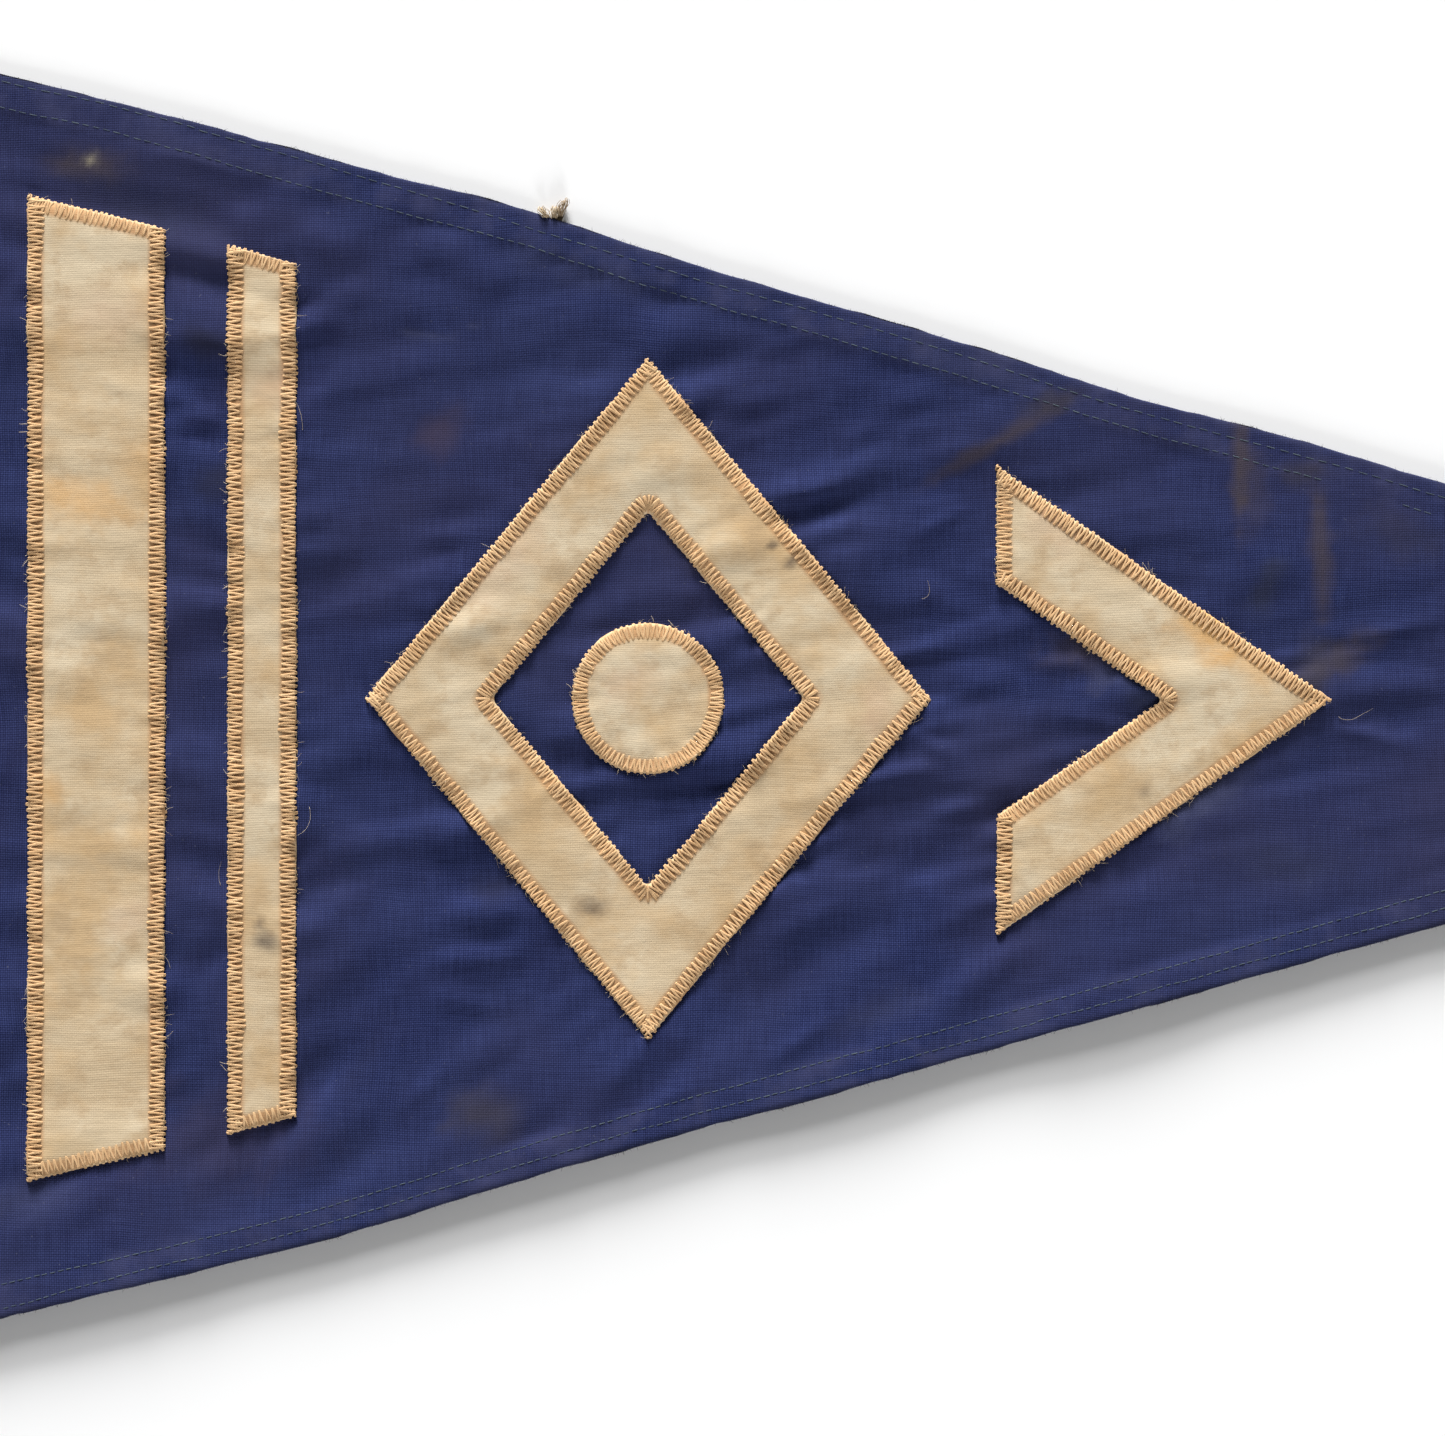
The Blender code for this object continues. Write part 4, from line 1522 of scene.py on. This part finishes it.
def bumped(tree, shader, height, strength, distance):
    node = tree.nodes.new("ShaderNodeBump")
    node.inputs["Strength"].default_value = strength
    node.inputs["Distance"].default_value = distance
    tree.links.new(height, node.inputs["Height"])
    tree.links.new(node.outputs["Normal"], shader.inputs["Normal"])
    return node.outputs["Normal"]


def eased_normal(tree, normal, share):
    """A normal leaned towards the face of the flag, as fluffy thread scatters its light."""
    lean = tree.nodes.new("ShaderNodeVectorMath")
    lean.operation = "MULTIPLY"
    lean.inputs[1].default_value = (share, share, 1.0)
    tree.links.new(normal, lean.inputs[0])
    unit = tree.nodes.new("ShaderNodeVectorMath")
    unit.operation = "NORMALIZE"
    tree.links.new(lean.outputs["Vector"], unit.inputs[0])
    return unit.outputs["Vector"]


def varied(tree, tone, noise, middle, share):
    """A tone made uneven by a share of a noise about its middle."""
    swing = maths(tree, "SUBTRACT", noise, middle)
    return maths(tree, "ADD", tone, maths(tree, "MULTIPLY", swing, share))


def washed(tree, colour, washes):
    """A colour under thin washes: each a noise, its low and high, the most it covers, its tint."""
    for noise, low, high, most, tint in washes:
        colour = mixed(tree, ranged(tree, noise, low, high, 0.0, most), colour, tint)
    return colour


def stained(tree, colour, uneven, low, high):
    """A colour under the stains painted on the sheet, thinner where the cloth is uneven."""
    stain = attribute(tree, "stain")
    thinner = ranged(tree, uneven, low, high, 0.75, 1.15)
    cover = maths(tree, "MULTIPLY", stain.outputs["Alpha"], thinner)
    return mixed(tree, maths(tree, "MINIMUM", cover, 1.0), colour, stain.outputs["Color"])


def rumpled(tree, shader, coords, relief, fuzz_share, crinkle, distance):
    """Bumps a cloth by its weave, its fuzz and its crinkles: scale, stretch and share."""
    scale, stretch, share = crinkle
    fuzz = noise_node(tree, coords, 1500.0, 2.0, 0.6)
    height = maths(tree, "ADD", relief, maths(tree, "MULTIPLY", fuzz, fuzz_share))
    crinkles = noise_node(tree, coords, scale, 3.0, 0.55, stretch)
    height = maths(tree, "ADD", height, maths(tree, "MULTIPLY", crinkles, share))
    bumped(tree, shader, height, 0.8, distance)


def blue_material():
    """Faded navy bunting: open plain weave, uneven yarns, lint and stains, with painted shade in the
    weave's gaps and along the folded rim.
    """
    made, tree, shader, coords = new_material("navy_bunting", 0.92)
    relief, swayed = weave(tree, coords, PITCH)
    warp_yarns = noise_node(tree, swayed, 1.0, 1.0, 0.5, (1300.0, 80.0, 1.0))
    weft_yarns = noise_node(tree, swayed, 1.0, 1.0, 0.5, (80.0, 1300.0, 1.0))
    yarns = maths(tree, "ADD", warp_yarns, weft_yarns)
    cloudy = noise_node(tree, coords, 17.0, 4.0, 0.55)
    warm = noise_node(tree, coords, 9.0, 3.0, 0.5, (1.0, 1.3, 3.0))
    patchy = noise_node(tree, coords, 75.0, 3.0, 0.6)
    deep = (0.0035, 0.0062, 0.0370)
    light = (0.0320, 0.0440, 0.1370)
    washes = (
        (cloudy, 0.35, 0.70, 0.30, (0.0270, 0.0330, 0.0840)),
        (warm, 0.45, 0.70, 0.50, (0.0290, 0.0260, 0.0600)),
        (patchy, 0.45, 0.75, 0.30, (0.0120, 0.0140, 0.0480)),
    )
    # Colour by the weave's relief: its gaps are painted darker than its crowns, a painted shade
    # between the yarns, made uneven by the yarns' own tone
    tone = varied(tree, relief, yarns, 1.0, 0.42)
    colour = washed(tree, mixed(tree, ranged(tree, tone, 0.30, 1.05), deep, light), washes)
    place = split(tree, attribute(tree, "place").outputs["Vector"])
    hem_wear = maths(tree, "MULTIPLY", place[0], ranged(tree, patchy, 0.42, 0.66, 0.0, 0.40))
    colour = mixed(tree, hem_wear, colour, (0.0560, 0.0600, 0.1350))
    # Painted shade along the folded rim: the cloth is darkened towards its edge
    colour = mixed(tree, maths(tree, "MULTIPLY", place[2], 0.65), colour, (0.0140, 0.0145, 0.0230))
    colour = stained(tree, colour, tone, 0.1, 1.1)
    lint = noise_node(tree, coords, 900.0, 2.0, 0.6)
    colour = washed(tree, colour, ((lint, 0.70, 0.78, 0.35, (0.1200, 0.1250, 0.1700)),))
    tree.links.new(colour, shader.inputs["Base Color"])
    shader.inputs["Specular IOR Level"].default_value = 0.12
    shader.inputs["Sheen Weight"].default_value = 0.03
    shader.inputs["Sheen Tint"].default_value = (0.45, 0.52, 0.85, 1.0)
    rumpled(tree, shader, coords, relief, 0.5, (130.0, (0.65, 1.4, 1.0), 1.1), 0.00007)
    return made


def cream_material():
    """Aged cream bunting: fine ribs across, tan near the sewing, mottled and stained, with painted
    shade between the ribs and a painted warm shade under the zigzag.
    """
    made, tree, shader, coords = new_material("cream_bunting", 0.90)
    relief, swayed = weave(tree, coords, PITCH, weft=1.35, warp=0.55)
    weft_yarns = noise_node(tree, swayed, 1.0, 1.0, 0.5, (60.0, 1250.0, 1.0))
    cloudy = noise_node(tree, coords, 34.0, 4.0, 0.6)
    mottle = noise_node(tree, coords, 120.0, 4.0, 0.65)
    pale = noise_node(tree, coords, 22.0, 3.0, 0.5, (1.0, 1.4, 1.0))
    deep = (0.4100, 0.3050, 0.1850)
    light = (0.5900, 0.4600, 0.2950)
    washes = (
        (pale, 0.42, 0.60, 0.75, (0.5950, 0.5000, 0.3550)),
        (cloudy, 0.46, 0.66, 0.80, (0.4800, 0.3200, 0.1600)),
        (mottle, 0.50, 0.68, 0.55, (0.4100, 0.2850, 0.1600)),
    )
    # Colour by the ribs' relief: their furrows are painted darker than their crowns, a painted shade
    # between the ribs, made uneven by the weft's own tone
    tone = varied(tree, relief, weft_yarns, 0.5, 0.9)
    colour = washed(tree, mixed(tree, ranged(tree, tone, 0.05, 1.05), deep, light), washes)
    place = split(tree, attribute(tree, "place").outputs["Vector"])
    colour = mixed(tree, maths(tree, "MULTIPLY", place[0], 0.35), colour, (0.5600, 0.3700, 0.1800))
    # Painted warm shade between the zigzag's strands: a darker orange-brown on the cloth under them
    colour = mixed(tree, maths(tree, "MULTIPLY", place[2], 0.80), colour, (0.4000, 0.2050, 0.0850))
    colour = stained(tree, colour, mottle, 0.3, 0.7)
    tree.links.new(colour, shader.inputs["Base Color"])
    shader.inputs["Sheen Weight"].default_value = 0.08
    rumpled(tree, shader, coords, relief, 0.4, (150.0, (0.65, 1.5, 1.0), 6.0), 0.00003)
    return made


def thread_material(name, deep, light):
    """Sewing thread: each stitch has its own shade, and fibres roughen it."""
    made, tree, shader, coords = new_material(name, 0.75)
    shade = split(tree, attribute(tree, "shade").outputs["Vector"])[0]
    fibres = noise_node(tree, coords, 2600.0, 2.0, 0.6)
    grime = noise_node(tree, coords, 95.0, 3.0, 0.6)
    dull = tuple(0.62 * d + 0.10 * l for d, l in zip(deep, light))
    tone = varied(tree, shade, fibres, 0.5, 0.9)
    colour = mixed(tree, ranged(tree, tone, 0.0, 1.0), deep, light)
    colour = washed(tree, colour, ((grime, 0.50, 0.75, 0.50, dull),))
    tree.links.new(colour, shader.inputs["Base Color"])
    shader.inputs["Sheen Weight"].default_value = 0.10
    normal = bumped(tree, shader, fibres, 0.5, 0.00005)
    tree.links.new(eased_normal(tree, normal, 0.32), shader.inputs["Normal"])
    return made


def canvas_material():
    """Off-white heading canvas: a coarse plain weave, soiled in patches."""
    made, tree, shader, coords = new_material("heading_duck", 0.93)
    relief, swayed = weave(tree, coords, CANVAS_PITCH)
    yarns = noise_node(tree, swayed, 1.0, 1.0, 0.5, (700.0, 60.0, 1.0))
    soil = noise_node(tree, coords, 40.0, 4.0, 0.6)
    # Colour by the weave's relief: its gaps are painted darker than its crowns, a painted shade
    # between the yarns, made uneven by the yarns' own tone
    tone = maths(tree, "ADD", relief, maths(tree, "SUBTRACT", yarns, 0.5))
    deep = (0.390, 0.335, 0.245)
    light = (0.620, 0.560, 0.440)
    colour = mixed(tree, ranged(tree, tone, 0.1, 1.1), deep, light)
    colour = washed(tree, colour, ((soil, 0.45, 0.75, 0.55, (0.400, 0.320, 0.210)),))
    tree.links.new(colour, shader.inputs["Base Color"])
    bumped(tree, shader, relief, 0.8, 0.00010)
    return made


def brass_material():
    """Pressed brass, dulled and darker in blotches."""
    made, tree, shader, coords = new_material("worn_brass", 0.36)
    blotch = noise_node(tree, coords, 420.0, 4.0, 0.6)
    fine = noise_node(tree, coords, 2400.0, 2.0, 0.6)
    bright = (0.600, 0.410, 0.160)
    dull = (0.300, 0.200, 0.090)
    colour = mixed(tree, ranged(tree, blotch, 0.40, 0.70), bright, dull)
    tree.links.new(colour, shader.inputs["Base Color"])
    shader.inputs["Metallic"].default_value = 1.0
    rough = ranged(tree, blotch, 0.35, 0.75, 0.26, 0.55)
    tree.links.new(rough, shader.inputs["Roughness"])
    bumped(tree, shader, fine, 0.4, 0.00002)
    return made


def floor_material():
    made, tree, shader, coords = new_material("pale_floor", 0.95)
    soft = noise_node(tree, coords, 3.0, 2.0, 0.5)
    low = (0.875, 0.875, 0.878)
    high = (0.890, 0.890, 0.890)
    colour = mixed(tree, ranged(tree, soft, 0.3, 0.7), low, high)
    tree.links.new(colour, shader.inputs["Base Color"])
    return made


def add_floor():
    half = 3.0
    verts = [(-half, -half, 0), (half, -half, 0), (half, half, 0), (-half, half, 0)]
    obj = add_mesh("floor", np.array(verts, float), [(0, 1, 2, 3)], False)
    obj.location.z = -0.00005
    obj.data.materials.append(floor_material())


def add_camera():
    """Straight down on the photograph's window, from as far as a long lens needs."""
    wide = PHOTO_WIDE * PIXEL
    middle_x = PHOTO_LEFT_X + wide / 2
    middle_y = PHOTO_TOP_Y - PHOTO_HIGH * PIXEL / 2
    data = bpy.data.cameras.new("camera")
    data.lens = LENS
    data.sensor_width = SENSOR
    data.sensor_fit = "HORIZONTAL"
    obj = bpy.data.objects.new("camera", data)
    obj.location = (middle_x, middle_y, wide * LENS / SENSOR + 0.001)
    bpy.context.scene.collection.objects.link(obj)
    bpy.context.scene.camera = obj


# The lights: elevation and azimuth in degrees (90 is from the top of the photograph), the
# width of the source in degrees, and its share of the light on the floor
SUNS = (
    ("low_key", 9.6, 96.0, 13.0, 0.43),
    ("high_key", 20.5, 100.0, 20.0, 0.28),
    ("low_fill", 11.5, -84.0, 21.0, 0.18),
)
ROOM_SHARE = 0.12
FLOOR_ALBEDO = 0.89
FLOOR_SEEN = 1.03


def add_lights():
    """Soft light from the top of the photograph, as even over the floor as a lit white table."""
    world = bpy.data.worlds.new("soft_room")
    world.use_nodes = True
    background = world.node_tree.nodes["Background"]
    background.inputs["Color"].default_value = (1.0, 1.0, 1.0, 1.0)
    background.inputs["Strength"].default_value = ROOM_SHARE * FLOOR_SEEN / FLOOR_ALBEDO
    bpy.context.scene.world = world
    for name, elevation, azimuth, width, share in SUNS:
        rise = math.radians(elevation)
        turn = math.radians(azimuth)
        data = bpy.data.lights.new(name, "SUN")
        data.angle = math.radians(width)
        data.energy = share * FLOOR_SEEN / FLOOR_ALBEDO * math.pi / math.sin(rise)
        obj = bpy.data.objects.new(name, data)
        level_share = math.cos(rise)
        towards = Vector((level_share * math.cos(turn), level_share * math.sin(turn), math.sin(rise)))
        obj.rotation_euler = towards.to_track_quat("Z", "Y").to_euler()
        bpy.context.scene.collection.objects.link(obj)
    bpy.context.scene.view_settings.view_transform = "Standard"


def ride(obj):
    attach(obj, "root")


navy = blue_material()
cream = cream_material()
tan_thread = thread_material("tan_thread", (0.560, 0.335, 0.158), (0.715, 0.470, 0.250))
grey_thread = thread_material("slate_thread", (0.028, 0.042, 0.070), (0.078, 0.104, 0.125))
rim_fuzz = thread_material("rim_fuzz", (0.012, 0.012, 0.022), (0.075, 0.066, 0.066))
fray_thread = thread_material("frayed_yarn", (0.400, 0.290, 0.180), (0.680, 0.570, 0.410))
twine = thread_material("brown_twine", (0.180, 0.110, 0.055), (0.560, 0.440, 0.290))

SURFACES = {"field": Surface(blue_top), "patch": Surface(patch_top)}


field_cloth = build_field(navy)
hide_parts("field")
ride(field_cloth)

GRIDS = {
    "patch_wide_band": band_grid(WIDE_BAND),
    "patch_narrow_band": band_grid(NARROW_BAND),
    "patch_lozenge": lozenge_grid(),
    "patch_disc": disc_grid(),
    "patch_chevron": chevron_grid(),
}
for patch_name, made_grid in GRIDS.items():
    cloth = build_patch(patch_name, made_grid, cream)
    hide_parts(patch_name)
    ride(cloth)
    border = build_zigzag(patch_name, SIDES[patch_name], tan_thread)
    ride(border)

for made in (build_fray(fray_thread), build_back_zigzag(tan_thread), build_strays(fray_thread)):
    ride(made)
for made in (build_hem_rows(grey_thread), build_tuft(twine), build_rim_fuzz(rim_fuzz)):
    ride(made)

heading_cloth = build_heading(canvas_material())
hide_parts("heading")
ride(heading_cloth)
ride(build_heading_seams(fray_thread))
brass = brass_material()
for eyelet_name, eyelet_place in EYELET_PLACES.items():
    ring = build_eyelet(eyelet_name, eyelet_place, brass)
    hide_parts(eyelet_name)
    ride(ring)

add_floor()
add_camera()
add_lights()
